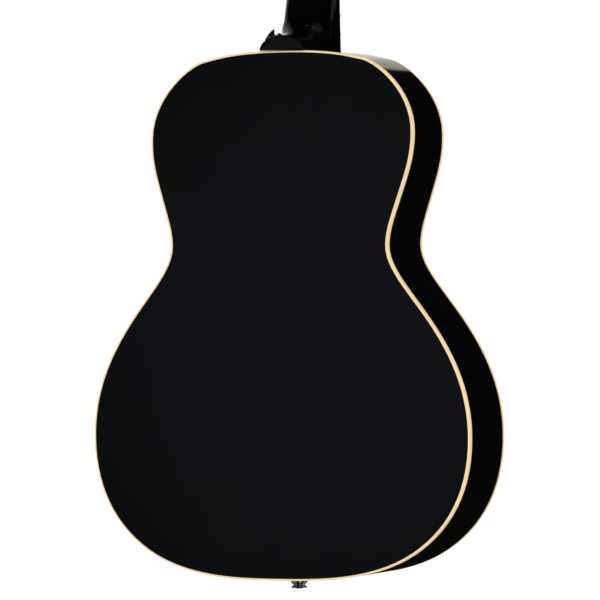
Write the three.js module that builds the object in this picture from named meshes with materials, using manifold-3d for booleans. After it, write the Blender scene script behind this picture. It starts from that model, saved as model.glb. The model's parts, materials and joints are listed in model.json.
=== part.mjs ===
// Small-bodied flat-top steel-string acoustic guitar, 14 frets to the body, millimetres.
// The model is drawn from the tail: z runs up the centre line, y = 0 is the outer face of the
// top with +y towards the back, and +x is the treble side. The outer group then moves the whole
// instrument so that its origin is on the centre line at the nut, where a hanger's yoke holds it.
import * as THREE from 'three';
import { mergeVertices } from 'three/addons/utils/BufferGeometryUtils.js';
import Module from 'manifold-3d';

const wasm = await Module();
wasm.setup();

// Clearance between pieces that touch.
const GAP = 0.3;

// Body box.
const BODY_LENGTH = 489;
const TAIL_DEPTH = 94.4;
const NECK_DEPTH = 75.3;
const BACK_RADIUS = 3226;
const TOP_THICKNESS = 3;
const BACK_THICKNESS = 3;
const SIDE_THICKNESS = 2.2;
const BINDING_WIDTH = 1.8;
const TOP_BINDING_HEIGHT = 5;
const BACK_BINDING_HEIGHT = 5.8;
const LINING_WIDTH = 6;
const LINING_HEIGHT = 13;
const LINING_INSET = SIDE_THICKNESS + GAP;
const NECK_BLOCK = { half: 38, from: BODY_LENGTH - 58 };
const TAIL_BLOCK = { half: 34, to: 22 };
// The back's outer face is part of a sphere, deeper at the tail than at the neck.
const BACK_CURVE = 1 / (2 * BACK_RADIUS);
const BACK_SLOPE = (NECK_DEPTH - TAIL_DEPTH) / BODY_LENGTH + BODY_LENGTH * BACK_CURVE;
// A level beyond every piece.
const FAR = 200;

// Half outline from the tail to the neck: place, heading in degrees, and the reach of the curve
// before and after the place. The other half mirrors it.
const OUTLINE = [
  { name: 'tail', x: 0, z: 0, heading: 0, before: 0, after: 40.7 },
  { name: 'tail corner', x: 132.7, z: 25.8, heading: 33.1, before: 46.7, after: 41.3 },
  { name: 'lower bout', x: 187.6, z: 132.6, heading: 90, before: 48.9, after: 34.8 },
  { name: 'below waist', x: 159.4, z: 224.3, heading: 121.9, before: 32.5, after: 43.4 },
  { name: 'waist', x: 107.9, z: 308.3, heading: 90, before: 23.5, after: 12.6 },
  { name: 'above waist', x: 118, z: 350.6, heading: 72.1, before: 19.8, after: 25.6 },
  { name: 'upper bout', x: 130.7, z: 410.3, heading: 90, before: 22, after: 38.5 },
  { name: 'shoulder', x: 78.2, z: 481.1, heading: 168.3, before: 17.2, after: 15.7 },
  { name: 'neck', x: 0, z: BODY_LENGTH, heading: 180, before: 49.2, after: 0 },
];
const CURVE_STEPS = 4;
const BACK_COLUMNS = 6;

// Scale, neck and headstock.
const SCALE = 628;
const BODY_FRET = 14;
const NUT_Z = BODY_LENGTH + SCALE * (1 - 2 ** (-BODY_FRET / 12));
const NUT_LENGTH = 4.6;
const NUT_TOP = -8;
const NECK_END = NUT_Z + NUT_LENGTH;
const NUT_HALF_WIDTH = 21.5;
const JOINT_HALF_WIDTH = 26.3;
const FRETBOARD_THICKNESS = 6;
const FRETBOARD_END = 402;
const NECK_DEPTH_AT_NUT = 15;
const NECK_DEPTH_AT_HEEL = 17;
const HEEL_START = 6;
const HEEL_FLARE_Y = 16;
const HEEL_FLARE = 45;
const HEEL_END = 73.8;
const HEEL_CAP_THICKNESS = 2.2;
const HEEL_HALF_WIDTH = 22.3;
const HEEL_REACH = 14;
const HEAD_TILT = THREE.MathUtils.degToRad(14);
const HEAD_THICKNESS = 15;
const HEAD_LENGTH = 168;
const HEAD_HALF_WIDTH = 36.5;

// Truss rod.
const ROD_Y = 8.5;
const ROD_RADIUS = 2.4;
const ROD_NUT_RADIUS = 3.8;
const ROD_END = NECK_END + 8;

// Soundhole and bracing under the top.
const SOUNDHOLE = { z: 350, radius: 49 };
const BRACE_LEVEL = TOP_THICKNESS + GAP;
const X_BRACE = { low: [171, 108], high: [-107, 358], width: 7, height: 14 };
const BACK_BRACE_PLACES = [70, 168, 290, 408];

// Bridge, saddle, pins and strings.
const SADDLE_Z = 207;
const SADDLE_TOP = -11.6;
const SADDLE_SLANT = THREE.MathUtils.degToRad(1.6);
const BRIDGE_LENGTH = 152;
const BRIDGE_THICKNESS = 8.5;
const BRIDGE_WING = 3.5;
const BRIDGE_SHOULDER = 44;
const PIN_Z = SADDLE_Z - 15;
const PIN_SPREAD = 54;
const NUT_SPREAD = 36;
const BALL_OFFSET = 4.8;
const STRING_DIAMETERS = [0.31, 0.41, 0.61, 0.81, 1.07, 1.35];
const STRING_AT_NUT = -7.6;

// Tuning machines, in the headstock's own frame: y = 0 is its front face, z runs to its tip.
const POST_X = 21;
const POST_PLACES = [38, 78, 118];
const POST_RADIUS = 3.15;
const POST_TOP = -15.5;
const WINDING_START = -9.6;
const WINDING_TURNS = 2;
const GEAR_RADIUS = 6.3;
const WORM_RADIUS = 3;
const PLATE_BACK = HEAD_THICKNESS + GAP + 1.2;
const GEAR_MIDDLE = PLATE_BACK + 3.5;
const WORM_OFFSET = GEAR_RADIUS + GAP + WORM_RADIUS;

// Strap buttons.
const HEEL_BUTTON = { y: 37, turn: THREE.MathUtils.degToRad(32), height: 9.4, seat: 0.9 };
const END_BUTTON_Y = TAIL_DEPTH / 2;
const END_BUTTON_HEIGHT = 10;

const gloss = (color) => new THREE.MeshStandardMaterial({ color, roughness: 0.12, metalness: 0 });
const wood = (color) => new THREE.MeshStandardMaterial({ color, roughness: 0.65, metalness: 0 });
const metal = (color) => new THREE.MeshStandardMaterial({ color, roughness: 0.22, metalness: 1 });

const BLACK_LACQUER = gloss('#101113');
const CREAM = gloss('#eed2aa');
const TORTOISE = gloss('#3a1a10');
const BONE = wood('#e9e0c8');
const ROSEWOOD = wood('#3b2419');
const MAHOGANY = wood('#7a4a2c');
const SPRUCE = wood('#d9b983');
const NICKEL = metal('#c9c7c1');
const STEEL = metal('#8f9194');
const BRONZE = metal('#a9743c');

const guitar = new THREE.Group();
const body = new THREE.Group();
body.position.set(0, 0, -NUT_Z);
guitar.add(body);
const head = new THREE.Group();
head.position.set(0, 0, NECK_END);
head.rotation.x = -HEAD_TILT;
body.add(head);

function addPart(parent, name, geometry, material) {
  const mesh = new THREE.Mesh(geometry, material);
  mesh.name = name;
  parent.add(mesh);
  return mesh;
}

// ---- solids ----

function toSolid(geometry) {
  const bare = geometry.clone();
  bare.deleteAttribute('normal');
  bare.deleteAttribute('uv');
  const merged = mergeVertices(bare, 1e-4);
  const mesh = new wasm.Mesh({
    numProp: 3,
    vertProperties: new Float32Array(merged.attributes.position.array),
    triVerts: new Uint32Array(merged.index.array),
  });
  return new wasm.Manifold(mesh);
}

function toGeometry(solid) {
  const { vertProperties, triVerts } = solid.getMesh();
  const geometry = new THREE.BufferGeometry();
  geometry.setAttribute('position', new THREE.BufferAttribute(vertProperties, 3));
  geometry.setIndex(new THREE.BufferAttribute(triVerts, 1));
  geometry.computeVertexNormals();
  return geometry;
}

function join(...geometries) {
  return toGeometry(geometries.map(toSolid).reduce((whole, next) => whole.add(next)));
}

function cut(geometry, ...cutters) {
  return toGeometry(cutters.map(toSolid).reduce((left, cutter) => left.subtract(cutter), toSolid(geometry)));
}

function common(first, second) {
  return toGeometry(toSolid(first).intersect(toSolid(second)));
}

function box(x0, x1, y0, y1, z0, z1) {
  const geometry = new THREE.BoxGeometry(x1 - x0, y1 - y0, z1 - z0);
  return geometry.translate((x0 + x1) / 2, (y0 + y1) / 2, (z0 + z1) / 2);
}

// A shape drawn in x and z, made solid from y0 to y1.
function plate(shape, y0, y1, options = {}) {
  const settings = { depth: y1 - y0, bevelEnabled: false, curveSegments: 6, ...options };
  return new THREE.ExtrudeGeometry(shape, settings).rotateX(Math.PI / 2).translate(0, y1, 0);
}

// A bevelled plate keeps its outer size: the bevel is taken inside the outline.
function softPlate(shape, y0, y1, bevel) {
  return plate(shape, y0 + bevel, y1 - bevel, {
    bevelEnabled: true,
    bevelSize: bevel,
    bevelOffset: -bevel,
    bevelThickness: bevel,
    bevelSegments: 1,
  });
}

// A turned piece along y: profile pairs are radius and y, from the axis back to the axis.
function turned(profile, segments = 16) {
  return new THREE.LatheGeometry(profile.map(([r, y]) => new THREE.Vector2(r, y)), segments);
}

function rod(radius, y0, y1, segments = 16) {
  return turned([[0, y0], [radius, y0], [radius, y1], [0, y1]], segments);
}

function reshape(geometry, change) {
  const position = geometry.attributes.position;
  const point = new THREE.Vector3();
  for (let i = 0; i < position.count; i += 1) {
    point.fromBufferAttribute(position, i);
    change(point);
    position.setXYZ(i, point.x, point.y, point.z);
  }
  geometry.computeVertexNormals();
  return geometry;
}

// ---- body outline and arched back ----

function halfOutline(inset) {
  const points = [];
  for (let i = 0; i < OUTLINE.length - 1; i += 1) {
    const curve = outlineCurve(OUTLINE[i], OUTLINE[i + 1]);
    for (let k = i === 0 ? 0 : 1; k <= CURVE_STEPS; k += 1) {
      const place = curve.getPoint(k / CURVE_STEPS);
      const heading = curve.getTangent(k / CURVE_STEPS);
      points.push(new THREE.Vector2(place.x - heading.y * inset, place.y + heading.x * inset));
    }
  }
  return points;
}

function outlineCurve(from, to) {
  const start = new THREE.Vector2(from.x, from.z);
  const end = new THREE.Vector2(to.x, to.z);
  const leave = start.clone().add(headingOf(from).multiplyScalar(from.after));
  const arrive = end.clone().sub(headingOf(to).multiplyScalar(to.before));
  return new THREE.CubicBezierCurve(start, leave, arrive, end);
}

function headingOf(knot) {
  const angle = THREE.MathUtils.degToRad(knot.heading);
  return new THREE.Vector2(Math.cos(angle), Math.sin(angle));
}

function outlineShape(inset) {
  const treble = halfOutline(inset);
  const bass = treble.slice(1, -1).reverse().map((p) => new THREE.Vector2(-p.x, p.y));
  return new THREE.Shape([...treble, ...bass]);
}

function ringShape(outerInset, innerInset) {
  const shape = outlineShape(outerInset);
  shape.holes.push(new THREE.Path(outlineShape(innerInset).getPoints()));
  return shape;
}

// Band along one half of the body; side is +1 for treble and -1 for bass.
function halfBandShape(side, outerInset, innerInset) {
  const place = (p) => new THREE.Vector2(side * Math.max(p.x, GAP / 2), p.y);
  const outer = halfOutline(outerInset).map(place);
  const inner = halfOutline(innerInset).map(place);
  return new THREE.Shape([...outer, ...inner.reverse()]);
}

function backY(x, z) {
  return TAIL_DEPTH + BACK_SLOPE * z - (x * x + z * z) * BACK_CURVE;
}

// Moves the vertices that lie at the level y = mark onto the back's face, less the given drop.
function meetBack(geometry, mark, drop) {
  return reshape(geometry, (p) => {
    if (Math.abs(p.y - mark) < 0.01) p.y = backY(p.x, p.z) - drop;
  });
}

function backPlate() {
  const rows = halfOutline(BINDING_WIDTH + GAP);
  const positions = [];
  const faces = [];
  const vertex = (layer, row, column) => (layer * rows.length + row) * (BACK_COLUMNS + 1) + column;
  for (const drop of [0, BACK_THICKNESS]) {
    for (const { x: halfWidth, y: z } of rows) {
      for (let column = 0; column <= BACK_COLUMNS; column += 1) {
        const x = halfWidth * ((2 * column) / BACK_COLUMNS - 1);
        positions.push(x, backY(x, z) - drop, z);
      }
    }
  }
  const quad = (a, b, c, d) => faces.push(a, b, d, b, c, d);
  for (let row = 0; row < rows.length - 1; row += 1) {
    const cell = (layer, column) => [
      vertex(layer, row, column),
      vertex(layer, row + 1, column),
      vertex(layer, row + 1, column + 1),
      vertex(layer, row, column + 1),
    ];
    for (let column = 0; column < BACK_COLUMNS; column += 1) {
      quad(...cell(0, column));
      quad(...cell(1, column).reverse());
    }
    const edge = (column) => [vertex(0, row, column), vertex(0, row + 1, column)];
    const under = (column) => [vertex(1, row + 1, column), vertex(1, row, column)];
    quad(...edge(BACK_COLUMNS), ...under(BACK_COLUMNS));
    quad(...[...edge(0), ...under(0)].reverse());
  }
  const geometry = new THREE.BufferGeometry();
  geometry.setAttribute('position', new THREE.Float32BufferAttribute(positions, 3));
  geometry.setIndex(faces);
  return dropThinFaces(mergeVertices(geometry, 1e-4));
}

// The plate's rows close to a point at the tail and the neck, which leaves faces with no area.
function dropThinFaces(geometry) {
  const index = geometry.index.array;
  const kept = [];
  for (let i = 0; i < index.length; i += 3) {
    const [a, b, c] = index.slice(i, i + 3);
    if (a !== b && b !== c && c !== a) kept.push(a, b, c);
  }
  geometry.setIndex(kept);
  geometry.computeVertexNormals();
  return geometry;
}

function soundboard() {
  const shape = outlineShape(BINDING_WIDTH + GAP);
  const hole = new THREE.Path();
  hole.absarc(0, SOUNDHOLE.z, SOUNDHOLE.radius, 0, 2 * Math.PI);
  shape.holes.push(hole);
  const board = plate(shape, 0, TOP_THICKNESS, { curveSegments: 20 });
  return cut(board, ...pinCutters());
}

function sidePanel(side) {
  const panel = plate(halfBandShape(side, 0, SIDE_THICKNESS), TOP_BINDING_HEIGHT + GAP, FAR);
  return meetBack(panel, FAR, BACK_BINDING_HEIGHT + 2 * GAP);
}

function backBinding() {
  const ring = plate(ringShape(0, BINDING_WIDTH), 0, FAR);
  return meetBack(meetBack(ring, 0, BACK_BINDING_HEIGHT), FAR, 0);
}

// The end blocks take the place of the linings.
function blockSpace(extra) {
  return [
    box(-NECK_BLOCK.half - extra, NECK_BLOCK.half + extra, -10, FAR, NECK_BLOCK.from - extra, 600),
    box(-TAIL_BLOCK.half - extra, TAIL_BLOCK.half + extra, -10, FAR, -10, TAIL_BLOCK.to + extra),
  ];
}

function topLining(side) {
  const band = halfBandShape(side, LINING_INSET, LINING_INSET + LINING_WIDTH);
  const start = TOP_THICKNESS + GAP;
  return cut(plate(band, start, start + LINING_HEIGHT), ...blockSpace(GAP));
}

function backLining(side) {
  const band = halfBandShape(side, LINING_INSET, LINING_INSET + LINING_WIDTH);
  const drop = BACK_THICKNESS + GAP;
  const strip = meetBack(meetBack(plate(band, 0, FAR), 0, drop + LINING_HEIGHT), FAR, drop);
  return cut(strip, ...blockSpace(GAP));
}

function endBlock(half, z0, z1) {
  const start = TOP_THICKNESS + GAP;
  const blank = meetBack(box(-half, half, start, FAR, z0, z1), FAR, BACK_THICKNESS + GAP);
  return common(blank, plate(outlineShape(LINING_INSET), -10, FAR));
}

// ---- bracing ----

// A bar glued on edge: full height in the middle, tapered to low ends.
function barAlong(from, to, level, height, width) {
  const start = new THREE.Vector2(...from);
  const end = new THREE.Vector2(...to);
  const length = start.distanceTo(end);
  const bar = new THREE.BoxGeometry(length, height, width, 8, 1, 1).translate(0, height / 2, 0);
  reshape(bar, (p) => {
    const taper = Math.min(1, 0.2 + 3.2 * (0.5 - Math.abs(p.x) / length));
    p.y = p.y > height / 2 ? height * taper : 0;
  });
  const middle = start.clone().add(end).multiplyScalar(0.5);
  const angle = Math.atan2(end.y - start.y, end.x - start.x);
  return bar.rotateY(-angle).translate(middle.x, level, middle.y);
}

function lapSpace(from, to, y0, y1) {
  const blank = barAlong(from, to, 0, 1, X_BRACE.width + 2 * GAP);
  return reshape(blank, (p) => {
    p.y = p.y > 0 ? y1 : y0;
  });
}

// The two X braces are half-lapped where they cross.
function xBrace(side) {
  const { low, high, width, height } = X_BRACE;
  const level = TOP_THICKNESS + GAP;
  const mirror = ([x, z], sign) => [sign * x, z];
  const bar = barAlong(mirror(low, side), mirror(high, side), level, height, width);
  const lap = level + height / 2;
  const [y0, y1] = side > 0 ? [lap - GAP / 2, FAR] : [-FAR, lap + GAP / 2];
  return cut(bar, lapSpace(mirror(low, -side), mirror(high, -side), y0, y1));
}

function backBrace(z) {
  const width = 8;
  const height = 16;
  const drop = BACK_THICKNESS + GAP;
  const half = halfWidthAt(z) - LINING_INSET - LINING_WIDTH - 7;
  const bar = new THREE.BoxGeometry(2 * half, height, width, 10, 1, 1);
  return reshape(bar.translate(0, 0, z), (p) => {
    const taper = Math.min(1, 0.25 + 2.6 * (1 - Math.abs(p.x) / half));
    p.y = backY(p.x, p.z) - drop - (p.y > 0 ? 0 : height * taper);
  });
}

function halfWidthAt(z) {
  const points = halfOutline(0);
  const next = points.findIndex((p) => p.y > z);
  const [a, b] = [points[next - 1], points[next]];
  return Math.min(a.x, b.x);
}

// ---- bridge ----

const stringOffset = (number, spread) => spread * (0.5 - (number - 1) / 5);

// One hole and string slot for each pin, through bridge, top and bridge plate.
function pinCutters() {
  return STRING_DIAMETERS.flatMap((_, i) => {
    const x = stringOffset(i + 1, PIN_SPREAD);
    const hole = rod(3, -40, 40, 10).translate(x, 0, PIN_Z);
    return [join(hole, box(x - 1, x + 1, -40, 40, PIN_Z, PIN_Z + BALL_OFFSET + 1))];
  });
}

function bridge() {
  const half = BRIDGE_LENGTH / 2;
  const profile = new THREE.Shape();
  profile.moveTo(-half, -GAP);
  profile.lineTo(half, -GAP);
  profile.lineTo(half, -BRIDGE_WING);
  profile.lineTo(half - 8, -BRIDGE_WING);
  profile.quadraticCurveTo(BRIDGE_SHOULDER + 10, -BRIDGE_WING, BRIDGE_SHOULDER, -BRIDGE_THICKNESS);
  profile.lineTo(-BRIDGE_SHOULDER, -BRIDGE_THICKNESS);
  profile.quadraticCurveTo(-BRIDGE_SHOULDER - 10, -BRIDGE_WING, -half + 8, -BRIDGE_WING);
  profile.lineTo(-half, -BRIDGE_WING);
  const blank = new THREE.ExtrudeGeometry(profile, { depth: 30, bevelEnabled: false, curveSegments: 5 });
  blank.translate(0, 0, SADDLE_Z - 22);
  const slot = box(-37, 37, -20, -3.2, -2, 2).rotateY(SADDLE_SLANT).translate(0, 0, SADDLE_Z);
  const ramps = STRING_DIAMETERS.map((_, i) => {
    const x = stringOffset(i + 1, PIN_SPREAD);
    return box(x - 1, x + 1, -20, -5, PIN_Z + 3, PIN_Z + 10.8);
  });
  return cut(blank, slot, ...ramps, ...pinCutters());
}

function saddle() {
  const side = new THREE.Shape();
  side.moveTo(-1.6, -3.5);
  side.lineTo(1.6, -3.5);
  side.lineTo(1.6, SADDLE_TOP + 1);
  side.quadraticCurveTo(1.4, SADDLE_TOP, 0, SADDLE_TOP);
  side.quadraticCurveTo(-1.4, SADDLE_TOP, -1.6, SADDLE_TOP + 1);
  const bar = new THREE.ExtrudeGeometry(side, { depth: 72, bevelEnabled: false, curveSegments: 3 });
  return bar.translate(0, 0, -36).rotateY(Math.PI / 2);
}

function bridgePin() {
  const collar = -BRIDGE_THICKNESS - GAP;
  return turned([
    [0, collar - 3.2],
    [1.8, collar - 2.9],
    [3.2, collar - 2],
    [3.7, collar - 0.7],
    [3.7, collar],
    [2.6, collar],
    [2.2, 15],
    [1.2, 17],
    [0, 17],
  ], 10);
}

// ---- neck ----

function neckHalfWidth(z) {
  const t = (z - BODY_LENGTH) / (NUT_Z - BODY_LENGTH);
  return THREE.MathUtils.lerp(JOINT_HALF_WIDTH, NUT_HALF_WIDTH, Math.min(t, 1));
}

function halfRound() {
  const shape = new THREE.Shape();
  shape.moveTo(1, 0);
  shape.absarc(0, 0, 1, 0, Math.PI);
  return shape;
}

function neckShaft() {
  const start = BODY_LENGTH + GAP;
  const length = NECK_END - start;
  const shaft = new THREE.ExtrudeGeometry(halfRound(), {
    depth: length,
    steps: 1,
    bevelEnabled: false,
    curveSegments: 12,
  });
  return reshape(shaft.translate(0, 0, start), (p) => {
    const t = (p.z - start) / length;
    p.x *= neckHalfWidth(p.z);
    p.y *= THREE.MathUtils.lerp(NECK_DEPTH_AT_HEEL, NECK_DEPTH_AT_NUT, t);
  });
}

// How far a level is up the heel: 0 at the cap and 1 where it flares into the shaft.
function heelRise(y) {
  return THREE.MathUtils.clamp((HEEL_END - y) / (HEEL_END - HEEL_FLARE_Y), 0, 1);
}

function heelHalfWidth(y) {
  return HEEL_HALF_WIDTH + (JOINT_HALF_WIDTH - HEEL_HALF_WIDTH) * heelRise(y) ** 1.4;
}

function heelReach(y) {
  const rise = heelRise(y);
  return HEEL_REACH + 3.5 * rise + HEEL_FLARE * (1 - Math.sqrt(1 - rise ** 5));
}

function heel() {
  const blank = plate(halfRound(), HEEL_START, HEEL_END, { steps: 7, curveSegments: 12 });
  return reshape(blank, (p) => {
    p.x *= heelHalfWidth(p.y);
    p.z = BODY_LENGTH + GAP + p.z * heelReach(p.y);
  });
}

function headShape() {
  const shape = new THREE.Shape();
  const corner = 9;
  shape.moveTo(-NUT_HALF_WIDTH, -1);
  shape.lineTo(NUT_HALF_WIDTH, -1);
  shape.bezierCurveTo(NUT_HALF_WIDTH, 12, HEAD_HALF_WIDTH - 4, 12, HEAD_HALF_WIDTH - 4, 30);
  shape.lineTo(HEAD_HALF_WIDTH, HEAD_LENGTH - corner);
  shape.quadraticCurveTo(HEAD_HALF_WIDTH, HEAD_LENGTH, HEAD_HALF_WIDTH - corner, HEAD_LENGTH);
  shape.quadraticCurveTo(0, HEAD_LENGTH + 7, -HEAD_HALF_WIDTH + corner, HEAD_LENGTH);
  shape.quadraticCurveTo(-HEAD_HALF_WIDTH, HEAD_LENGTH, -HEAD_HALF_WIDTH, HEAD_LENGTH - corner);
  shape.lineTo(-HEAD_HALF_WIDTH + 4, 30);
  shape.bezierCurveTo(-HEAD_HALF_WIDTH + 4, 12, -NUT_HALF_WIDTH, 12, -NUT_HALF_WIDTH, -1);
  return shape;
}

function neck() {
  const postHole = (side, z) => rod(POST_RADIUS + 0.9, -20, 40, 12).translate(side * POST_X, 0, z);
  const holes = POST_PLACES.flatMap((z) => [postHole(1, z), postHole(-1, z)]);
  const blank = plate(headShape(), 0, HEAD_THICKNESS, { curveSegments: 4 });
  const headPlate = cut(blank, ...holes).applyMatrix4(headMatrix());
  const channel = box(-3.3, 3.3, -10, ROD_Y + 2.8, BODY_LENGTH - 10, ROD_END);
  const pocket = box(-5.6, 5.6, -10, ROD_Y + ROD_NUT_RADIUS + 0.8, NECK_END + 4, NECK_END + 26);
  return cut(join(neckShaft(), heel(), headPlate), channel, pocket);
}

function headMatrix() {
  const matrix = new THREE.Matrix4().makeRotationX(-HEAD_TILT);
  return matrix.setPosition(0, 0, NECK_END);
}

function heelCap() {
  const start = HEEL_END + GAP;
  const cap = plate(halfRound(), start, start + HEEL_CAP_THICKNESS, { curveSegments: 16 });
  return reshape(cap, (p) => {
    p.x *= HEEL_HALF_WIDTH;
    p.z = BODY_LENGTH + GAP + p.z * HEEL_REACH;
  });
}

function fretboard() {
  const end = NUT_Z - GAP;
  const endHalf = neckHalfWidth(FRETBOARD_END);
  const shape = new THREE.Shape();
  shape.moveTo(-endHalf, FRETBOARD_END);
  shape.lineTo(endHalf, FRETBOARD_END);
  shape.lineTo(NUT_HALF_WIDTH, end);
  shape.lineTo(-NUT_HALF_WIDTH, end);
  return plate(shape, -FRETBOARD_THICKNESS, -GAP);
}

function nut() {
  const blank = box(-NUT_HALF_WIDTH, NUT_HALF_WIDTH, NUT_TOP, -GAP, NUT_Z, NECK_END - GAP);
  const slots = STRING_DIAMETERS.map((diameter, i) => {
    const x = stringOffset(i + 1, NUT_SPREAD);
    const half = diameter / 2 + GAP;
    return box(x - half, x + half, -20, STRING_AT_NUT + half, NUT_Z - 5, NUT_Z + 10);
  });
  return cut(blank, ...slots);
}

function trussRod() {
  const length = ROD_END - BODY_LENGTH - 8;
  return rod(ROD_RADIUS, 0, length, 12).rotateX(Math.PI / 2).translate(0, ROD_Y, BODY_LENGTH + 8);
}

function trussRodNut() {
  const hex = rod(ROD_NUT_RADIUS, 0, 10, 6);
  return cut(hex, rod(1.6, 5, 20, 6)).rotateX(Math.PI / 2);
}

function trussRodCover() {
  const shape = new THREE.Shape();
  shape.moveTo(-9, 3);
  shape.lineTo(9, 3);
  shape.bezierCurveTo(11.5, 14, 5, 22, 4.2, 32);
  shape.absarc(0, 32, 4.2, 0, Math.PI);
  shape.bezierCurveTo(-5, 22, -11.5, 14, -9, 3);
  return softPlate(shape, -2.3, -GAP, 0.5);
}

// ---- tuning machines ----

function tunerPost() {
  return turned([
    [0, POST_TOP],
    [2.4, POST_TOP],
    [POST_RADIUS, POST_TOP + 0.8],
    [POST_RADIUS, PLATE_BACK + GAP],
    [4.4, PLATE_BACK + GAP],
    [4.4, GEAR_MIDDLE - 2.1],
    [GEAR_RADIUS, GEAR_MIDDLE - 2.1],
    [GEAR_RADIUS, GEAR_MIDDLE + 2.1],
    [2.6, GEAR_MIDDLE + 2.1],
    [2.6, GEAR_MIDDLE + 3.2],
    [0, GEAR_MIDDLE + 3.2],
  ], 12);
}

// Worm, shaft and button along the local y axis, from the inner bearing to the button's end.
function tunerKnob(side) {
  const stem = turned([
    [0, 12.6],
    [1.9, 12.6],
    [1.9, 15.2],
    [WORM_RADIUS, 15.2],
    [WORM_RADIUS, 26.8],
    [1.9, 26.8],
    [1.9, 40],
    [3.6, 41],
    [3.6, 43],
    [1.5, 47],
    [0, 47],
  ], 8);
  const button = new THREE.SphereGeometry(1, 12, 6).scale(9.8, 8.2, 3.9).translate(0, 51.4, 0);
  return join(stem, button).rotateZ(-side * Math.PI / 2);
}

function tunerPlate(side) {
  const [inner, outer, low, high, corner] = [11.6, 30.4, 27, 137, 4];
  const shape = new THREE.Shape();
  shape.moveTo(side * inner, low + corner);
  shape.quadraticCurveTo(side * inner, low, side * (inner + corner), low);
  shape.lineTo(side * (outer - corner), low);
  shape.quadraticCurveTo(side * outer, low, side * outer, low + corner);
  shape.lineTo(side * outer, high - corner);
  shape.quadraticCurveTo(side * outer, high, side * (outer - corner), high);
  shape.lineTo(side * (inner + corner), high);
  shape.quadraticCurveTo(side * inner, high, side * inner, high - corner);
  const strip = plate(shape, HEAD_THICKNESS + GAP, PLATE_BACK, { curveSegments: 3 });
  const lugs = [];
  const holes = [];
  for (const z of POST_PLACES) {
    const worm = z + WORM_OFFSET;
    for (const x of [13.8, 28.3]) {
      const lug = box(-0.85, 0.85, PLATE_BACK - 0.6, GEAR_MIDDLE + 3.6, worm - 3.4, worm + 3.4);
      lugs.push(lug.translate(side * x, 0, 0));
    }
    holes.push(rod(POST_RADIUS + 0.5, -20, 60, 10).translate(side * POST_X, 0, z));
    holes.push(rod(2.3, 10, 32, 8).rotateZ((-side * Math.PI) / 2).translate(0, GEAR_MIDDLE, worm));
  }
  return cut(join(strip, ...lugs), ...holes);
}

// ---- strings ----

// A path that puts each section of the extrusion on one of its points.
class StationPath extends THREE.Curve {
  constructor(points) {
    super();
    this.points = points;
  }

  getPoint(t, target = new THREE.Vector3()) {
    const last = this.points.length - 1;
    const i = Math.min(Math.floor(t * last), last - 1);
    return target.lerpVectors(this.points[i], this.points[i + 1], t * last - i);
  }

  getTangent(t, target = new THREE.Vector3()) {
    const last = this.points.length - 1;
    const i = Math.round(t * last);
    const before = this.leg(Math.max(i - 1, 0));
    return target.addVectors(before, this.leg(Math.min(i, last - 1))).normalize();
  }

  getUtoTmapping(u) {
    return u;
  }

  leg(i) {
    return new THREE.Vector3().subVectors(this.points[i + 1], this.points[i]).normalize();
  }
}

const postOf = (number) => (number <= 3 ? number : 7 - number);
const sideOf = (number) => (number <= 3 ? 1 : -1);

function windingPoints(number, radius) {
  const side = sideOf(number);
  const post = new THREE.Vector2(side * POST_X, POST_PLACES[postOf(number) - 1]);
  const reach = POST_RADIUS + 0.5 + radius;
  const nutX = stringOffset(number, NUT_SPREAD);
  const heading = Math.atan2(post.x - side * reach - nutX, post.y);
  const along = new THREE.Vector2(Math.sin(heading), Math.cos(heading));
  const inward = new THREE.Vector2(-side * Math.cos(heading), side * Math.sin(heading));
  const stepsPerTurn = 8;
  const pitch = 2 * radius + 0.35;
  const points = [];
  for (let k = 0; k <= WINDING_TURNS * stepsPerTurn; k += 1) {
    const turn = (2 * Math.PI * k) / stepsPerTurn;
    const x = post.x + reach * (inward.x * Math.cos(turn) + along.x * Math.sin(turn));
    const z = post.y + reach * (inward.y * Math.cos(turn) + along.y * Math.sin(turn));
    points.push(new THREE.Vector3(x, WINDING_START + (pitch * k) / stepsPerTurn, z));
  }
  return points.map((p) => p.applyMatrix4(headMatrix()));
}

function guitarString(number) {
  const radius = STRING_DIAMETERS[number - 1] / 2;
  const x = stringOffset(number, PIN_SPREAD);
  const nutX = stringOffset(number, NUT_SPREAD);
  const ballY = TOP_THICKNESS + GAP + 2.5 + 0.4 + 2;
  const points = [
    new THREE.Vector3(x, ballY, PIN_Z + BALL_OFFSET),
    new THREE.Vector3(x, -5.6, PIN_Z + BALL_OFFSET),
    new THREE.Vector3(x, -7, PIN_Z + BALL_OFFSET + 1),
    new THREE.Vector3(x, SADDLE_TOP - 2 * GAP - radius, SADDLE_Z - x * Math.tan(SADDLE_SLANT)),
    new THREE.Vector3(nutX, STRING_AT_NUT, NUT_Z),
    new THREE.Vector3(nutX, STRING_AT_NUT, NECK_END - GAP),
    ...windingPoints(number, radius),
  ];
  const section = new THREE.Shape();
  section.absarc(0, 0, radius, 0, 2 * Math.PI);
  const wire = new THREE.ExtrudeGeometry(section, {
    steps: points.length - 1,
    extrudePath: new StationPath(points),
    curveSegments: 4,
  });
  const ball = new THREE.SphereGeometry(2, 6, 5).translate(x, ballY, PIN_Z + BALL_OFFSET);
  return join(wire, ball);
}

// ---- strap buttons and pickguard ----

// Spools with the screw's head on the outer flange, standing on y = 0.
function heelButtonShape() {
  const height = HEEL_BUTTON.height;
  return turned([
    [0, 0],
    [7.6, 0],
    [7.6, 2],
    [3.8, 3.2],
    [3.8, height - 4],
    [7, height - 2],
    [7, height - 1.2],
    [3.2, height - 1],
    [2.6, height],
    [0, height],
  ], 20);
}

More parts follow.
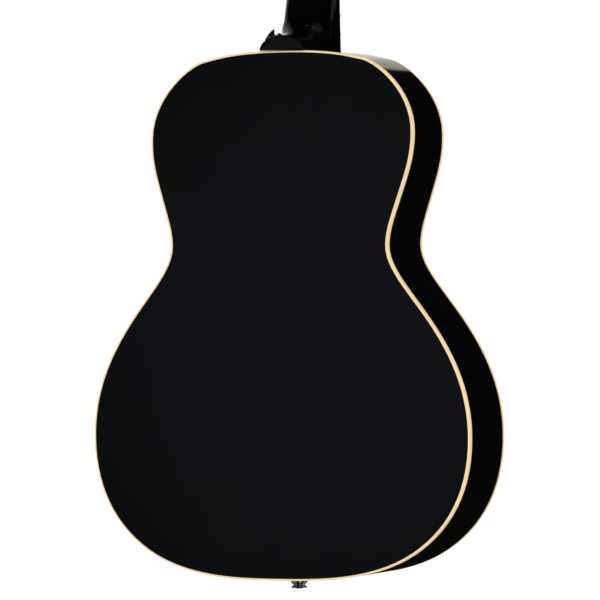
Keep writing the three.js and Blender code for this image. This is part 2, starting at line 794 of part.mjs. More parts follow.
function endButtonShape() {
  return turned([
    [0, 0],
    [7.7, 0],
    [7.7, 4.6],
    [5.4, 5.8],
    [5.4, 6.8],
    [7.6, 8],
    [7.6, 8.8],
    [4.6, 9.2],
    [4.4, END_BUTTON_HEIGHT],
    [0, END_BUTTON_HEIGHT],
  ], 20);
}

// Stands a piece square on the heel's curved side, its own y axis pointing out.
function placeOnHeel(mesh, y, turn) {
  const x = heelHalfWidth(y) * Math.cos(turn);
  const z = heelReach(y) * Math.sin(turn);
  const level = (px, py, pz) => (px / heelHalfWidth(py)) ** 2 + (pz / heelReach(py)) ** 2;
  const step = 0.01;
  const outward = new THREE.Vector3(
    level(x + step, y, z) - level(x - step, y, z),
    level(x, y + step, z) - level(x, y - step, z),
    level(x, y, z + step) - level(x, y, z - step),
  ).normalize();
  mesh.position.set(x, y, BODY_LENGTH + GAP + z).addScaledVector(outward, HEEL_BUTTON.seat);
  mesh.quaternion.setFromUnitVectors(new THREE.Vector3(0, 1, 0), outward);
}

function pickguard() {
  const rim = SOUNDHOLE.radius + 4;
  const shape = new THREE.Shape();
  const from = THREE.MathUtils.degToRad(12);
  const to = THREE.MathUtils.degToRad(-96);
  shape.moveTo(rim * Math.cos(to), rim * Math.sin(to));
  shape.absarc(0, 0, rim, to, from, false);
  shape.bezierCurveTo(66, 4, 84, -22, 86, -52);
  shape.bezierCurveTo(88, -96, 60, -112, 40, -104);
  shape.bezierCurveTo(18, -92, 2, -72, rim * Math.cos(to), rim * Math.sin(to));
  return plate(shape, -GAP - 1, -GAP, { curveSegments: 8 }).translate(0, 0, SOUNDHOLE.z);
}

// ---- the instrument ----

addPart(body, 'top', soundboard(), BLACK_LACQUER);
addPart(body, 'back', backPlate(), BLACK_LACQUER);
addPart(body, 'side_treble', sidePanel(1), BLACK_LACQUER);
addPart(body, 'side_bass', sidePanel(-1), BLACK_LACQUER);
addPart(body, 'top_binding', plate(ringShape(0, BINDING_WIDTH), 0, TOP_BINDING_HEIGHT), CREAM);
addPart(body, 'back_binding', backBinding(), CREAM);
addPart(body, 'top_lining_treble', topLining(1), MAHOGANY);
addPart(body, 'top_lining_bass', topLining(-1), MAHOGANY);
addPart(body, 'back_lining_treble', backLining(1), MAHOGANY);
addPart(body, 'back_lining_bass', backLining(-1), MAHOGANY);
addPart(body, 'neck_block', endBlock(NECK_BLOCK.half, NECK_BLOCK.from, 600), MAHOGANY);
addPart(body, 'tail_block', endBlock(TAIL_BLOCK.half, -10, TAIL_BLOCK.to), MAHOGANY);

BACK_BRACE_PLACES.forEach((z, i) => addPart(body, `back_brace_${i + 1}`, backBrace(z), SPRUCE));
addPart(body, 'x_brace_treble', xBrace(1), SPRUCE);
addPart(body, 'x_brace_bass', xBrace(-1), SPRUCE);
addPart(body, 'upper_brace', barAlong([-108, 419], [108, 419], BRACE_LEVEL, 16, 11), SPRUCE);
addPart(body, 'tone_bar_1', barAlong([-106, 151], [84, 92], BRACE_LEVEL, 11, 6), SPRUCE);
addPart(body, 'tone_bar_2', barAlong([-122, 106], [34, 56], BRACE_LEVEL, 10, 6), SPRUCE);
const bridgePlateBlank = box(-48, 48, BRACE_LEVEL, BRACE_LEVEL + 2.5, 172, 211);
addPart(body, 'bridge_plate', cut(bridgePlateBlank, ...pinCutters()), MAHOGANY);

addPart(body, 'bridge', bridge(), ROSEWOOD);
const saddleMesh = addPart(body, 'saddle', saddle(), BONE);
saddleMesh.position.set(0, 0, SADDLE_Z);
saddleMesh.rotation.y = SADDLE_SLANT;
addPart(body, 'pickguard', pickguard(), TORTOISE);

addPart(body, 'neck', neck(), BLACK_LACQUER);
addPart(body, 'heel_cap', heelCap(), BLACK_LACQUER);
addPart(body, 'fretboard', fretboard(), ROSEWOOD);
addPart(body, 'nut', nut(), BONE);
addPart(body, 'truss_rod', trussRod(), STEEL);
addPart(body, 'truss_rod_nut', trussRodNut(), STEEL).position.set(0, ROD_Y, ROD_END + GAP);
addPart(head, 'truss_rod_cover', trussRodCover(), BLACK_LACQUER);

const heelButton = addPart(body, 'heel_strap_button', heelButtonShape(), NICKEL);
placeOnHeel(heelButton, HEEL_BUTTON.y, HEEL_BUTTON.turn);
const endButton = addPart(body, 'end_button', endButtonShape(), NICKEL);
endButton.position.set(0, END_BUTTON_Y, -GAP);
endButton.rotation.x = -Math.PI / 2;

addPart(head, 'tuner_plate_treble', tunerPlate(1), NICKEL);
addPart(head, 'tuner_plate_bass', tunerPlate(-1), NICKEL);
for (let number = 1; number <= 6; number += 1) {
  const side = sideOf(number);
  const z = POST_PLACES[postOf(number) - 1];
  const post = addPart(head, `tuner_post_${number}`, tunerPost(), NICKEL);
  post.position.set(side * POST_X, 0, z);
  const knob = addPart(head, `tuner_knob_${number}`, tunerKnob(side), NICKEL);
  knob.position.set(0, GEAR_MIDDLE, z + WORM_OFFSET);
  const pin = addPart(body, `bridge_pin_${number}`, bridgePin(), BONE);
  pin.position.set(stringOffset(number, PIN_SPREAD), 0, PIN_Z);
  addPart(body, `string_${number}`, guitarString(number), number <= 2 ? STEEL : BRONZE);
}

export default guitar;
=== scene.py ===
# A small black flat-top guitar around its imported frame. Millimetres in the tables, metres in the scene.
import json
import math

import bpy
from mathutils import Matrix, Vector
from mathutils.geometry import interpolate_bezier


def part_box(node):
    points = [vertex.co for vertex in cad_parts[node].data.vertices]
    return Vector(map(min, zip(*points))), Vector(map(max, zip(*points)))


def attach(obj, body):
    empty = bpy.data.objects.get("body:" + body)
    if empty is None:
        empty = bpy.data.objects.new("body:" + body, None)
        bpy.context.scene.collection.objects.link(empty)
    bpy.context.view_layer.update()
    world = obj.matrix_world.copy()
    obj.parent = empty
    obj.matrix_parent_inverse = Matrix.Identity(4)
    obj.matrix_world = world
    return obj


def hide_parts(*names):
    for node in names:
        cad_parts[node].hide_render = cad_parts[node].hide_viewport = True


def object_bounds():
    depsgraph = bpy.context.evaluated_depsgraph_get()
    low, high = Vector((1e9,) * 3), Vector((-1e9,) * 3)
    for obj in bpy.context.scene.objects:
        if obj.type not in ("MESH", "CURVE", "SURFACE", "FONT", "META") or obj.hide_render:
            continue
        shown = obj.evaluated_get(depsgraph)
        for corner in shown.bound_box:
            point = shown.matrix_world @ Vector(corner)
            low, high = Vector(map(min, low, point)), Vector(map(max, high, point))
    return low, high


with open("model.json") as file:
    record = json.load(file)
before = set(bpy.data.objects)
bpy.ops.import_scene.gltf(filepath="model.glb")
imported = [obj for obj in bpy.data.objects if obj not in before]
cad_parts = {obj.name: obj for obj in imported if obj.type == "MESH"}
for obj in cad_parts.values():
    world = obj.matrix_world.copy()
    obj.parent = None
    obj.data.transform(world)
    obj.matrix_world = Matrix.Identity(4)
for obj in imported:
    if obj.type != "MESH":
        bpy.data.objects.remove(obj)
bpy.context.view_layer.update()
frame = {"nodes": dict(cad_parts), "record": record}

mm = 0.001
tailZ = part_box("back_binding")[0][2]      # the tail end of the body, below the nut
print("stage: frame loaded")

# The body's half outline from tail to neck: place, heading in degrees, curve reach before and after.
bodyShape = {
    "knots": [
        (0, 0, 0, 0, 40.7),
        (132.7, 25.8, 33.1, 46.7, 41.3),
        (187.6, 132.6, 90, 48.9, 34.8),
        (159.4, 224.3, 121.9, 32.5, 43.4),
        (107.9, 308.3, 90, 23.5, 12.6),
        (118, 350.6, 72.1, 19.8, 25.6),
        (130.7, 410.3, 90, 22, 38.5),
        (78.2, 481.1, 168.3, 17.2, 15.7),
        (0, 489, 180, 49.2, 0),
    ],
    "steps": 14,
    "length": 489,
    "tailDepth": 94.4,
    "neckDepth": 75.3,
    "backRadius": 3226,
    "plate": 2.9,
    "side": 2.2,
    "bindingWidth": 1.8,
    "topBinding": 5.1,
    "backBinding": 5.9,
    "bindingRound": 1.4,
    "middleZ": 230,
    "holeZ": 350,
    "holeRadius": 49,
}

neckShape = {
    "scale": 628,
    "nutLength": 4.6,
    "nutHalf": 21.5,
    "jointHalf": 26.3,
    "heelDepth": 17,
    "nutDepth": 15,
    "heelEnd": 73.8,
    "heelHalf": 22.3,
    "heelReach": 14,
    "flare": 45,
    "round": 2.15,
    "tilt": math.radians(14),
    "headThickness": 15,
    "headLength": 168,
    "headHalf": 36.5,
}


def clamp(value):
    return min(max(value, 0), 1)


def place(x, y, z):
    # millimetres from the tail end to the frame's metres
    return Vector((x * mm, y * mm, z * mm + tailZ))


nutZ = -tailZ / mm                        # the nut, measured from the tail
neckEnd = nutZ + neckShape["nutLength"]
neckGap = 0.3                             # between the body and the heel


def headPlace(x, y, z):
    # y runs from the headstock's front face to its back, z towards its tip
    c, s = math.cos(neckShape["tilt"]), math.sin(neckShape["tilt"])
    return place(x, y * c + z * s, neckEnd - y * s + z * c)


headTurn = Matrix.Rotation(-neckShape["tilt"], 4, "X")


def heading(degrees):
    return Vector((math.cos(math.radians(degrees)), math.sin(math.radians(degrees)), 0))


def halfOutline():
    # pairs of a place and the way in, from the tail round the treble side to the neck
    points = []
    knots = bodyShape["knots"]
    for a, b in zip(knots, knots[1:]):
        start, end = Vector((a[0], a[1], 0)), Vector((b[0], b[1], 0))
        leave = start + heading(a[2]) * a[4]
        arrive = end - heading(b[2]) * b[3]
        curve = interpolate_bezier(start, leave, arrive, end, bodyShape["steps"] + 1)
        points += curve if not points else curve[1:]
    pairs = []
    for i, point in enumerate(points):
        if i == 0:
            way = heading(0)
        elif i == len(points) - 1:
            way = heading(180)
        else:
            way = (points[i + 1] - points[i - 1]).normalized()
        pairs.append((point, Vector((-way.y, way.x, 0))))
    return pairs


halfPoints = halfOutline()
roundPoints = halfPoints + [
    (Vector((-p.x, p.y, 0)), Vector((-n.x, n.y, 0))) for p, n in reversed(halfPoints[1:-1])
]


def inset(pair, amount):
    point = pair[0] + pair[1] * amount
    return point.x, point.y


def backY(x, z):
    # part of a sphere that leans from the tail's depth to the neck's
    curve = 1 / (2 * bodyShape["backRadius"])
    length = bodyShape["length"]
    slope = (bodyShape["neckDepth"] - bodyShape["tailDepth"]) / length + length * curve
    return bodyShape["tailDepth"] + slope * z - (x * x + z * z) * curve


def deselect():
    bpy.ops.object.select_all(action="DESELECT")


def pick(piece):
    deselect()
    piece.select_set(True)
    bpy.context.view_layer.objects.active = piece


def addObject(name, data):
    made = bpy.data.objects.new(name, data)
    bpy.context.collection.objects.link(made)
    return made


def loft(name, rings, closeRows=False, caps=False):
    # a grid laid through rings of points, joined round, then closed
    rows = [list(ring) for ring in rings]
    if caps:
        rows = [[middle(rows[0])] * len(rows[0])] + rows + [[middle(rows[-1])] * len(rows[-1])]
    if closeRows:
        rows.append(rows[0])
    deselect()
    bpy.ops.mesh.primitive_grid_add(x_subdivisions=len(rows[0]), y_subdivisions=len(rows) - 1)
    piece = bpy.context.object
    piece.name = name
    piece.data.name = name
    places = [c for row in rows for point in row + row[:1] for c in point]
    piece.data.vertices.foreach_set("co", places)
    bpy.ops.object.mode_set(mode="EDIT")
    bpy.ops.mesh.select_all(action="SELECT")
    bpy.ops.mesh.remove_doubles(threshold=1e-7)
    bpy.ops.mesh.normals_make_consistent(inside=False)
    bpy.ops.mesh.select_all(action="DESELECT")
    bpy.ops.object.mode_set(mode="OBJECT")
    return piece


def middle(points):
    total = Vector((0, 0, 0))
    for point in points:
        total += point
    return total / len(points)


def soften(piece, width, segments=2, angle=40):
    bevel = piece.modifiers.new("soften", "BEVEL")
    bevel.width = width * mm
    bevel.segments = segments
    bevel.limit_method = "ANGLE"
    bevel.angle_limit = math.radians(angle)
    bevel.harden_normals = False
    applyAll(piece)


def applyAll(piece):
    pick(piece)
    for modifier in list(piece.modifiers):
        bpy.ops.object.modifier_apply(modifier=modifier.name)


def settle(piece, slot, node=None, body="instrument", angle=35, material=None):
    # smooth shading, the slot's finish or one given, and the body that the piece rides on
    pick(piece)
    bpy.ops.object.shade_smooth_by_angle(angle=math.radians(angle))
    piece.data.materials.clear()
    piece.data.materials.append(material or finishes[slot])
    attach(piece, body)
    if node:
        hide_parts(node)
    return piece


def circle(radius, y, count, centre=(0, 0)):
    # a ring of points round the y axis, in millimetres
    return [
        Vector((
            centre[0] + radius * math.cos(math.tau * i / count),
            y,
            centre[1] + radius * math.sin(math.tau * i / count),
        ))
        for i in range(count)
    ]


def turned(name, profile, matrix, count=32):
    # a lathe piece: profile is radius and height pairs from pole to pole, stood on the matrix's y axis
    rings = []
    for radius, y in profile:
        rings.append([matrix @ (point * mm) for point in circle(radius, y, count)])
    return loft(name, rings)


def smoothProfile(knots, steps=4):
    # rounds a list of radius and height pairs by cutting each inner corner with a short curve
    points = [Vector((r, y, 0)) for r, y in knots]
    out = [points[0]]
    for before, at, after in zip(points, points[1:], points[2:]):
        size = min((at - before).length, (after - at).length) * 0.35
        size = min(size, 0.6)
        start = at + (before - at).normalized() * size
        end = at + (after - at).normalized() * size
        out += interpolate_bezier(start, start.lerp(at, 0.6), end.lerp(at, 0.6), end, steps)
    out.append(points[-1])
    return [(p.x, p.y) for p in out]


def copyOf(source, name, matrix):
    mesh = source.data.copy()
    mesh.name = name
    mesh.transform(matrix)
    return addObject(name, mesh)


def dropModels(*models):
    for model in models:
        bpy.data.objects.remove(model)


def linear(code):
    # sRGB hex to linear
    values = [int(code[i:i + 2], 16) / 255 for i in (1, 3, 5)]
    return [v / 12.92 if v <= 0.04045 else ((v + 0.055) / 1.055) ** 2.4 for v in values] + [1]


def addNode(tree, kind, settings=None, values=None, links=None, stops=None):
    # settings are the node's own, values and links go to its sockets, stops are places along a ramp
    node = tree.nodes.new(kind)
    for key, value in (settings or {}).items():
        setattr(node, key, value)
    for key, value in (values or {}).items():
        node.inputs[key].default_value = value
    for key, socket in (links or {}).items():
        tree.links.new(socket, node.inputs[key])
    for i, (position, color) in enumerate(stops or []):
        elements = node.color_ramp.elements
        element = elements[i] if i < len(elements) else elements.new(position)
        element.position = position
        element.color = linear(color) if isinstance(color, str) else [color, color, color, 1]
    return node.outputs


def startMaterial(name, clouds):
    # clouds are noise patterns on the piece: size in mm, detail, stretch, roughness, distortion
    material = bpy.data.materials.new(name)
    material.use_nodes = True
    tree = material.node_tree
    tree.nodes.clear()
    coords = addNode(tree, "ShaderNodeTexCoord")["Object"]
    made = {"coords": coords}
    for key, cloud in clouds.items():
        size, detail, stretch, rough, distortion = cloud + (1, (1, 1, 1), 0.5, 0)[len(cloud) - 1:]
        mapped = addNode(tree, "ShaderNodeMapping", values={"Scale": stretch}, links={"Vector": coords})
        values = {"Scale": 1 / (size * mm), "Detail": detail, "Roughness": rough, "Distortion": distortion}
        made[key] = addNode(tree, "ShaderNodeTexNoise", None, values, {"Vector": mapped["Vector"]})["Fac"]
    return material, made


def finishMaterial(material, color, rough, bumps=(), values=None):
    # color and rough are a pattern and its stops, bumps are a pattern, strength and depth in mm
    tree = material.node_tree
    links = {}
    for socket, pattern in (("Base Color", color), ("Roughness", rough)):
        if pattern:
            ramp = addNode(tree, "ShaderNodeValToRGB", links={"Fac": pattern[0]}, stops=pattern[1])
            links[socket] = ramp["Color"]
    for pattern, strength, depth in bumps:
        into = {"Height": pattern}
        if "Normal" in links:
            into["Normal"] = links["Normal"]
        relief = {"Strength": strength, "Distance": depth * mm}
        links["Normal"] = addNode(tree, "ShaderNodeBump", values=relief, links=into)["Normal"]
    shader = addNode(tree, "ShaderNodeBsdfPrincipled", values=values, links=links)
    addNode(tree, "ShaderNodeOutputMaterial", links={"Surface": shader["BSDF"]})
    return material


lacquerLook = {
    "dark": "#020203", "light": "#040405",
    "low": 0.03, "high": 0.08,      # roughness where it is buffed most and least
    "peelMm": 5.0, "dustMm": 0.7,
}


def blackLacquer():
    # buffed nitrocellulose over black dye: deep and glassy, faint orange peel and buffing haze
    look = lacquerLook
    material, made = startMaterial("blackLacquer", {
        "cloud": (90, 3), "haze": (26, 4, (1, 1, 0.35)),
        "peel": (look["peelMm"], 1), "dust": (look["dustMm"], 2),
    })
    color = made["cloud"], [(0.35, look["dark"]), (0.7, look["light"])]
    rough = made["haze"], [(0.3, look["low"]), (0.75, look["high"])]
    bumps = [(made["peel"], 0.06, 0.02), (made["dust"], 0.05, 0.004)]
    return finishMaterial(material, color, rough, bumps, {"IOR": 1.5, "Specular IOR Level": 0.5})


bindingLook = {"cream": "#e4cca2", "deep": "#d6b988", "streakMm": 1.2}


def creamBinding():
    # aged celluloid strip: warm cream with faint lengthwise streaks, buffed with the lacquer
    look = bindingLook
    clouds = {"streak": (look["streakMm"], 3, (1, 1, 0.04)), "stain": (60, 3)}
    material, made = startMaterial("creamCelluloid", clouds)
    both = {0: made["streak"], 1: made["stain"]}
    mixed = addNode(material.node_tree, "ShaderNodeMath", {"operation": "MULTIPLY"}, links=both)["Value"]
    color = mixed, [(0.1, look["cream"]), (0.5, look["deep"])]
    rough = made["stain"], [(0.3, 0.22), (0.8, 0.36)]
    return finishMaterial(material, color, rough, [(made["streak"], 0.08, 0.02)], {
        "IOR": 1.5, "Subsurface Weight": 0.06, "Subsurface Scale": 1,
        "Subsurface Radius": (0.002, 0.0014, 0.0008),
    })


def timber(name, light, dark, grainMm, rough, stretch):
    # growth rings as long streaks along the grain, with fine pores drawn out along it
    clouds = {"wide": (grainMm, 4, stretch, 0.6, 0.4), "fine": (0.35, 3, stretch)}
    material, made = startMaterial(name, clouds)
    mixed = addNode(material.node_tree, "ShaderNodeMix", {"data_type": "FLOAT"}, {"Factor": 0.35},
                    {"A": made["wide"], "B": made["fine"]})["Result"]
    color = mixed, [(0.36, dark), (0.52, light), (0.66, dark)]
    shine = made["fine"], [(0.3, rough - 0.1), (0.7, rough + 0.12)]
    return finishMaterial(material, color, shine, [(made["fine"], 0.35, 0.05)])


def bone(name="bleachedBone", light="#ece3cd", dark="#d9c9a3"):
    # polished cattle bone: ivory with faint pores
    material, made = startMaterial(name, {"cloud": (7, 4), "pores": (0.4, 2)})
    color = made["cloud"], [(0.35, dark), (0.6, light)]
    rough = made["pores"], [(0.3, 0.28), (0.7, 0.4)]
    return finishMaterial(material, color, rough, [(made["pores"], 0.1, 0.02)], {
        "Subsurface Weight": 0.08, "Subsurface Radius": (0.002, 0.0015, 0.001), "Subsurface Scale": 1,
    })


def platedMetal(name, light, dark, low, high, scratchMm=0.5, stretch=(1, 1, 1)):
    # nickel plate or drawn metal: bright, with fine handling marks and a little tarnish
    material, made = startMaterial(name, {"tarnish": (9, 4), "marks": (scratchMm, 3, stretch)})
    color = made["tarnish"], [(0.35, light), (0.75, dark)]
    rough = made["marks"], [(0.3, low), (0.75, high)]
    return finishMaterial(material, color, rough, [(made["marks"], 0.08, 0.01)], {"Metallic": 1})


def woundBronze():
    # phosphor bronze wrap on a steel core; real wraps are 0.3 mm apart, drawn at 0.6 mm to show
    wrapMm = 0.6
    material, made = startMaterial("phosphorBronzeWrap", {"wear": (2, 2)})
    values = {"Scale": math.tau / (20 * wrapMm * mm), "Distortion": 0}
    wave = addNode(material.node_tree, "ShaderNodeTexWave", {"bands_direction": "Z", "wave_profile": "SIN"},
                   values, {"Vector": made["coords"]})["Fac"]
    # the colour follows the same wave as the bump, so it paints shade darker in the grooves between wraps
    # and a painted highlight on their crests
    color = wave, [(0.1, "#6d4423"), (0.7, "#c58a4e")]
    rough = made["wear"], [(0.3, 0.26), (0.7, 0.4)]
    return finishMaterial(material, color, rough, [(wave, 0.6, 0.08)], {"Metallic": 1})


def tortoise():
    # celluloid sheet with amber and dark brown clouds, polished
    clouds = {"cloud": (16, 3, (1, 1, 0.8), 0.55, 1.2), "haze": (12, 3), "ripple": (3, 1)}
    material, made = startMaterial("tortoiseCelluloid", clouds)
    color = made["cloud"], [(0.36, "#120705"), (0.47, "#3b140a"), (0.57, "#5c220d"), (0.7, "#8a4a1c")]
    rough = made["haze"], [(0.3, 0.08), (0.7, 0.16)]
    return finishMaterial(material, color, rough, [(made["ripple"], 0.05, 0.02)], {"IOR": 1.5})


def pearl():
    # mother of pearl: pale with a slow colour shift across the shell's layers
    material, made = startMaterial("motherOfPearl", {"layers": (2.4, 3, (1, 1, 0.5), 0.5, 2)})
    color = made["layers"], [(0.3, "#cfd9d2"), (0.5, "#f1ead9"), (0.7, "#d8cbd6")]
    rough = made["layers"], [(0.3, 0.12), (0.7, 0.22)]
    return finishMaterial(material, color, rough, values={"IOR": 1.53})


finishes = {
    "black_lacquer": blackLacquer(),
    "cream_binding": creamBinding(),
    "mahogany": timber("bareMahogany", "#94603c", "#6b3f25", 3.0, 0.7, (1, 1, 0.06)),
    "spruce": timber("bareSpruce", "#e6c995", "#cda56c", 1.6, 0.65, (1, 1, 0.04)),
    "rosewood": timber("oiledRosewood", "#3d241a", "#1b0f0a", 2.6, 0.45, (1, 1, 0.05)),
    "bone": bone(),
    "tortoise": tortoise(),
    "rod_steel": platedMetal("plainSteel", "#a3a6a8", "#6f7275", 0.3, 0.45),
    "nickel": platedMetal("nickelPlate", "#d8d5cd", "#b3aea2", 0.08, 0.2),
    "plain_steel": platedMetal("drawnSteel", "#c9cacb", "#a5a6a8", 0.18, 0.3, 0.3, (1, 1, 0.05)),
    "bronze_winding": woundBronze(),
}
fretWire = platedMetal("nickelSilver", "#cfcabd", "#a8a293", 0.12, 0.26, 0.4, (0.1, 1, 1))
wheelBrass = platedMetal("turnedBrass", "#b98a4a", "#8c6431", 0.18, 0.32)
dotPearl = pearl()
buttonCream = bone("agedButton", "#efe5c9", "#dcc795")
blackLine = timber("dyedMapleLine", "#15110f", "#0b0908", 1.0, 0.35, (1, 1, 1))
print("stage: materials")


def carryOver():
    # CAD nodes whose shape is right keep their mesh and take the finish of their slot
    for entry in frame["record"]["subparts"]:
        node = frame["nodes"].get(entry["node"])
        if node is not None and node.type == "MESH":
            node.data.materials.clear()
            node.data.materials.append(finishes[entry["material_slot"]])


carryOver()


def makeBack():
    # rings from the middle out to the binding on the outer face, round the edge and back inside
    amounts = [0, 0.06, 0.14, 0.24, 0.34, 0.44, 0.54, 0.64, 0.73, 0.81, 0.88, 0.93, 0.97, 0.99, 1]
    middleZ = bodyShape["middleZ"]
    rings = []
    for layer, order in ((0, amounts), (bodyShape["plate"], amounts[::-1])):
        for amount in order:
            ring = []
            for pair in roundPoints:
                x, z = inset(pair, bodyShape["bindingWidth"])
                x, z = x * amount, middleZ + (z - middleZ) * amount
                ring.append(place(x, backY(x, z) - layer, z))
            rings.append(ring)
    piece = loft("backPlate", rings)
    settle(piece, "black_lacquer", "back")


def makeTop():
    # the ring of the soundhole is matched to the outline by direction, so no face crosses it
    centre = Vector((0, bodyShape["holeZ"]))
    radius = bodyShape["holeRadius"]
    amounts = [0, 0.01, 0.04, 0.1, 0.18, 0.28, 0.4, 0.52, 0.64, 0.76, 0.87, 0.95, 0.99, 1]
    rings = []
    for y, order in ((0, amounts), (bodyShape["plate"], amounts[::-1])):
        for amount in order:
            ring = []
            for pair in roundPoints:
                edge = Vector(inset(pair, bodyShape["bindingWidth"]))
                rim = centre + (edge - centre).normalized() * radius
                at = rim.lerp(edge, amount)
                ring.append(place(at.x, y, at.y))
            rings.append(ring)
    piece = loft("soundboard", rings, closeRows=True)
    soften(piece, 0.5)
    settle(piece, "black_lacquer", "top")


def makeSide(side, name, node):
    front, back = bodyShape["topBinding"], bodyShape["backBinding"]
    thickness = bodyShape["side"]
    rings = []
    for pair in halfPoints:
        outer, inner = inset(pair, 0), inset(pair, thickness)
        ring = []
        for x, z in (outer, inner):
            depths = [front, backY(x, z) - back]
            levels = [depths[0] + (depths[1] - depths[0]) * t for t in (0, 0.25, 0.5, 0.75, 1)]
            line = [place(side * max(x, 0), y, z) for y in levels]
            ring += line[::-1] if ring else line
        rings.append(ring)
    piece = loft(name, rings, caps=True)
    settle(piece, "black_lacquer", node)


def bindingSection(height):
    # inset and drop pairs round the strip: the outer corner is scraped round
    width, arc = bodyShape["bindingWidth"], bodyShape["bindingRound"]
    section = [(0, height)]
    for i in range(7):
        turn = math.pi / 2 * i / 6
        section.append((arc - arc * math.cos(turn), arc - arc * math.sin(turn)))
    return section + [(width, 0), (width, height)]


def makeBinding(name, node, atBack):
    rings = []
    section = bindingSection(bodyShape["backBinding" if atBack else "topBinding"])
    for pair in roundPoints:
        ring = []
        for amount, drop in section:
            x, z = inset(pair, amount)
            ring.append(place(x, backY(x, z) - drop if atBack else drop, z))
        rings.append(ring)
    piece = loft(name, rings, closeRows=True)
    settle(piece, "cream_binding", node, angle=50)


makeBack()
makeTop()
makeSide(1, "trebleSide", "side_treble")
makeSide(-1, "bassSide", "side_bass")
makeBinding("backBinding", "back_binding", True)
makeBinding("topBinding", "top_binding", False)

rosetteLook = {
    "rings": [
        (51, 51.7, "bone"), (53.2, 54, "black"), (54, 58, "bone"), (58, 58.8, "black"), (60.3, 61, "bone"),
    ],
    "proud": 0.06,
    "deep": 0.4,
}


def makeRosette():
    for number, (inner, outer, kind) in enumerate(rosetteLook["rings"], 1):
        low, high = -rosetteLook["proud"], rosetteLook["deep"]
        section = [(inner, low), (outer, low), (outer, high), (inner, high)]
        rings = []
        for radius, y in section:
            ring = circle(radius, y, 96, (0, bodyShape["holeZ"]))
            rings.append([place(*point) for point in ring])
        piece = loft("rosetteRing%d" % number, rings, closeRows=True)
        if kind == "bone":
            settle(piece, "bone")
        else:
            settle(piece, "black_lacquer", material=blackLine)


makeRosette()

guardLook = {"low": -1.3, "high": -0.3, "rim": 53, "from": 12, "to": -96}


def makePickguard():
    rim = guardLook["rim"]
    arc = []
    for i in range(25):
        turn = math.radians(guardLook["to"] + (guardLook["from"] - guardLook["to"]) * i / 24)
        arc.append(Vector((rim * math.cos(turn), rim * math.sin(turn), 0)))
    outline = arc[:]
    stops = [
        (arc[-1], (66, 4), (84, -22), (86, -52)),
        (Vector((86, -52, 0)), (88, -96), (60, -112), (40, -104)),
        (Vector((40, -104, 0)), (18, -92), (2, -72), (arc[0].x, arc[0].y)),
    ]
    for start, a, b, end in stops:
        curve = interpolate_bezier(start, Vector((*a, 0)), Vector((*b, 0)), Vector((*end, 0)), 16)
        outline += curve[1:]
    outline = outline[:-1]
    # each point of the edge is joined to a spine, so that the plate stays flat and even
    spine = Vector((52, -58, 0))
    rings = []
    for y, order in ((guardLook["low"], (0, 0.5, 0.97, 1)), (guardLook["high"], (1, 0.5, 0))):
        for amount in order:
            level = y + (0.35 if amount == 1 and y == guardLook["low"] else 0)
            points = [spine.lerp(p, amount) for p in outline]
            rings.append([place(p.x, level, p.y + bodyShape["holeZ"]) for p in points])
    piece = loft("pickguardSheet", rings)
    settle(piece, "tortoise", "pickguard")


makePickguard()
print("stage: body")


def neckHalf(z):
    t = min((z - bodyShape["length"]) / (nutZ - bodyShape["length"]), 1)
    return neckShape["jointHalf"] * (1 - t) + neckShape["nutHalf"] * t


def neckDepth(z):
    t = min((z - bodyShape["length"]) / (nutZ - bodyShape["length"]), 1)
    return neckShape["heelDepth"] * (1 - t) + neckShape["nutDepth"] * t


def heelSize(y, depth=neckShape["heelDepth"]):
    # half width and reach ahead of the body at a level, from the cap down to the back of the shaft
    rise = clamp((neckShape["heelEnd"] - y) / (neckShape["heelEnd"] - depth))
    half = neckShape["heelHalf"] + (neckShape["jointHalf"] - neckShape["heelHalf"]) * rise ** 1.4
    reach = neckShape["heelReach"] + 3.5 * rise + neckShape["flare"] * (1 - math.sqrt(1 - rise ** 5))
    return half, reach


def heelTop(ahead, depth):
    # the level of the heel's middle line at a distance ahead of the body
    low, high = depth, neckShape["heelEnd"]
    if ahead <= neckShape["heelReach"]:
        return high
    for _ in range(30):
        level = (low + high) / 2
        if heelSize(level, depth)[1] > ahead:
            low = level
        else:
            high = level
    return low


def neckSide(y, z, ahead):
    # half width at a level: the shaft's own, widened into the heel's half oval near the body
    half, depth = neckHalf(z), neckDepth(z)
    shaft = half * max(1 - (y / depth) ** neckShape["round"], 0) ** (1 / neckShape["round"])
    wide, reach = heelSize(y, depth)
    wide *= half / neckShape["jointHalf"]
    inside = max(1 - (ahead / reach) ** 2, 0)
    power = 0.5 + clamp((depth - y) / 8)
    return shaft + max(wide - shaft, 0) * inside ** power


def evenly(points, count):
    # points at equal steps along a line of points
    run = [0]
    for a, b in zip(points, points[1:]):
        run.append(run[-1] + math.dist(a, b))
    out = []
    k = 0
    for i in range(count + 1):
        want = run[-1] * i / count
        while k < len(points) - 2 and run[k + 1] < want:
            k += 1
        span = run[k + 1] - run[k]
        t = (want - run[k]) / span if span else 0
        a, b = points[k], points[k + 1]
        out.append((a[0] + (b[0] - a[0]) * t, a[1] + (b[1] - a[1]) * t))
    return out


def shaftProfile(x, half, depth, power=neckShape["round"]):
    inside = max(1 - abs(x / half) ** power, 0)
    return depth * inside ** (1 / power)


def eased(points, spread):
    # each point moves to the middle of those beside it, and the ends stay
    out = []
    for i in range(len(points)):
        w = min(spread, i, len(points) - 1 - i)
        near = points[i - w:i + w + 1]
        out.append((sum(p[0] for p in near) / len(near), sum(p[1] for p in near) / len(near)))
    return out


neckMesh = {"wall": 26, "crown": 14, "levels": 500, "fine": 330, "least": 0.45, "fillet": 5.5}
neckColumns = 2 * neckMesh["wall"] + neckMesh["crown"]


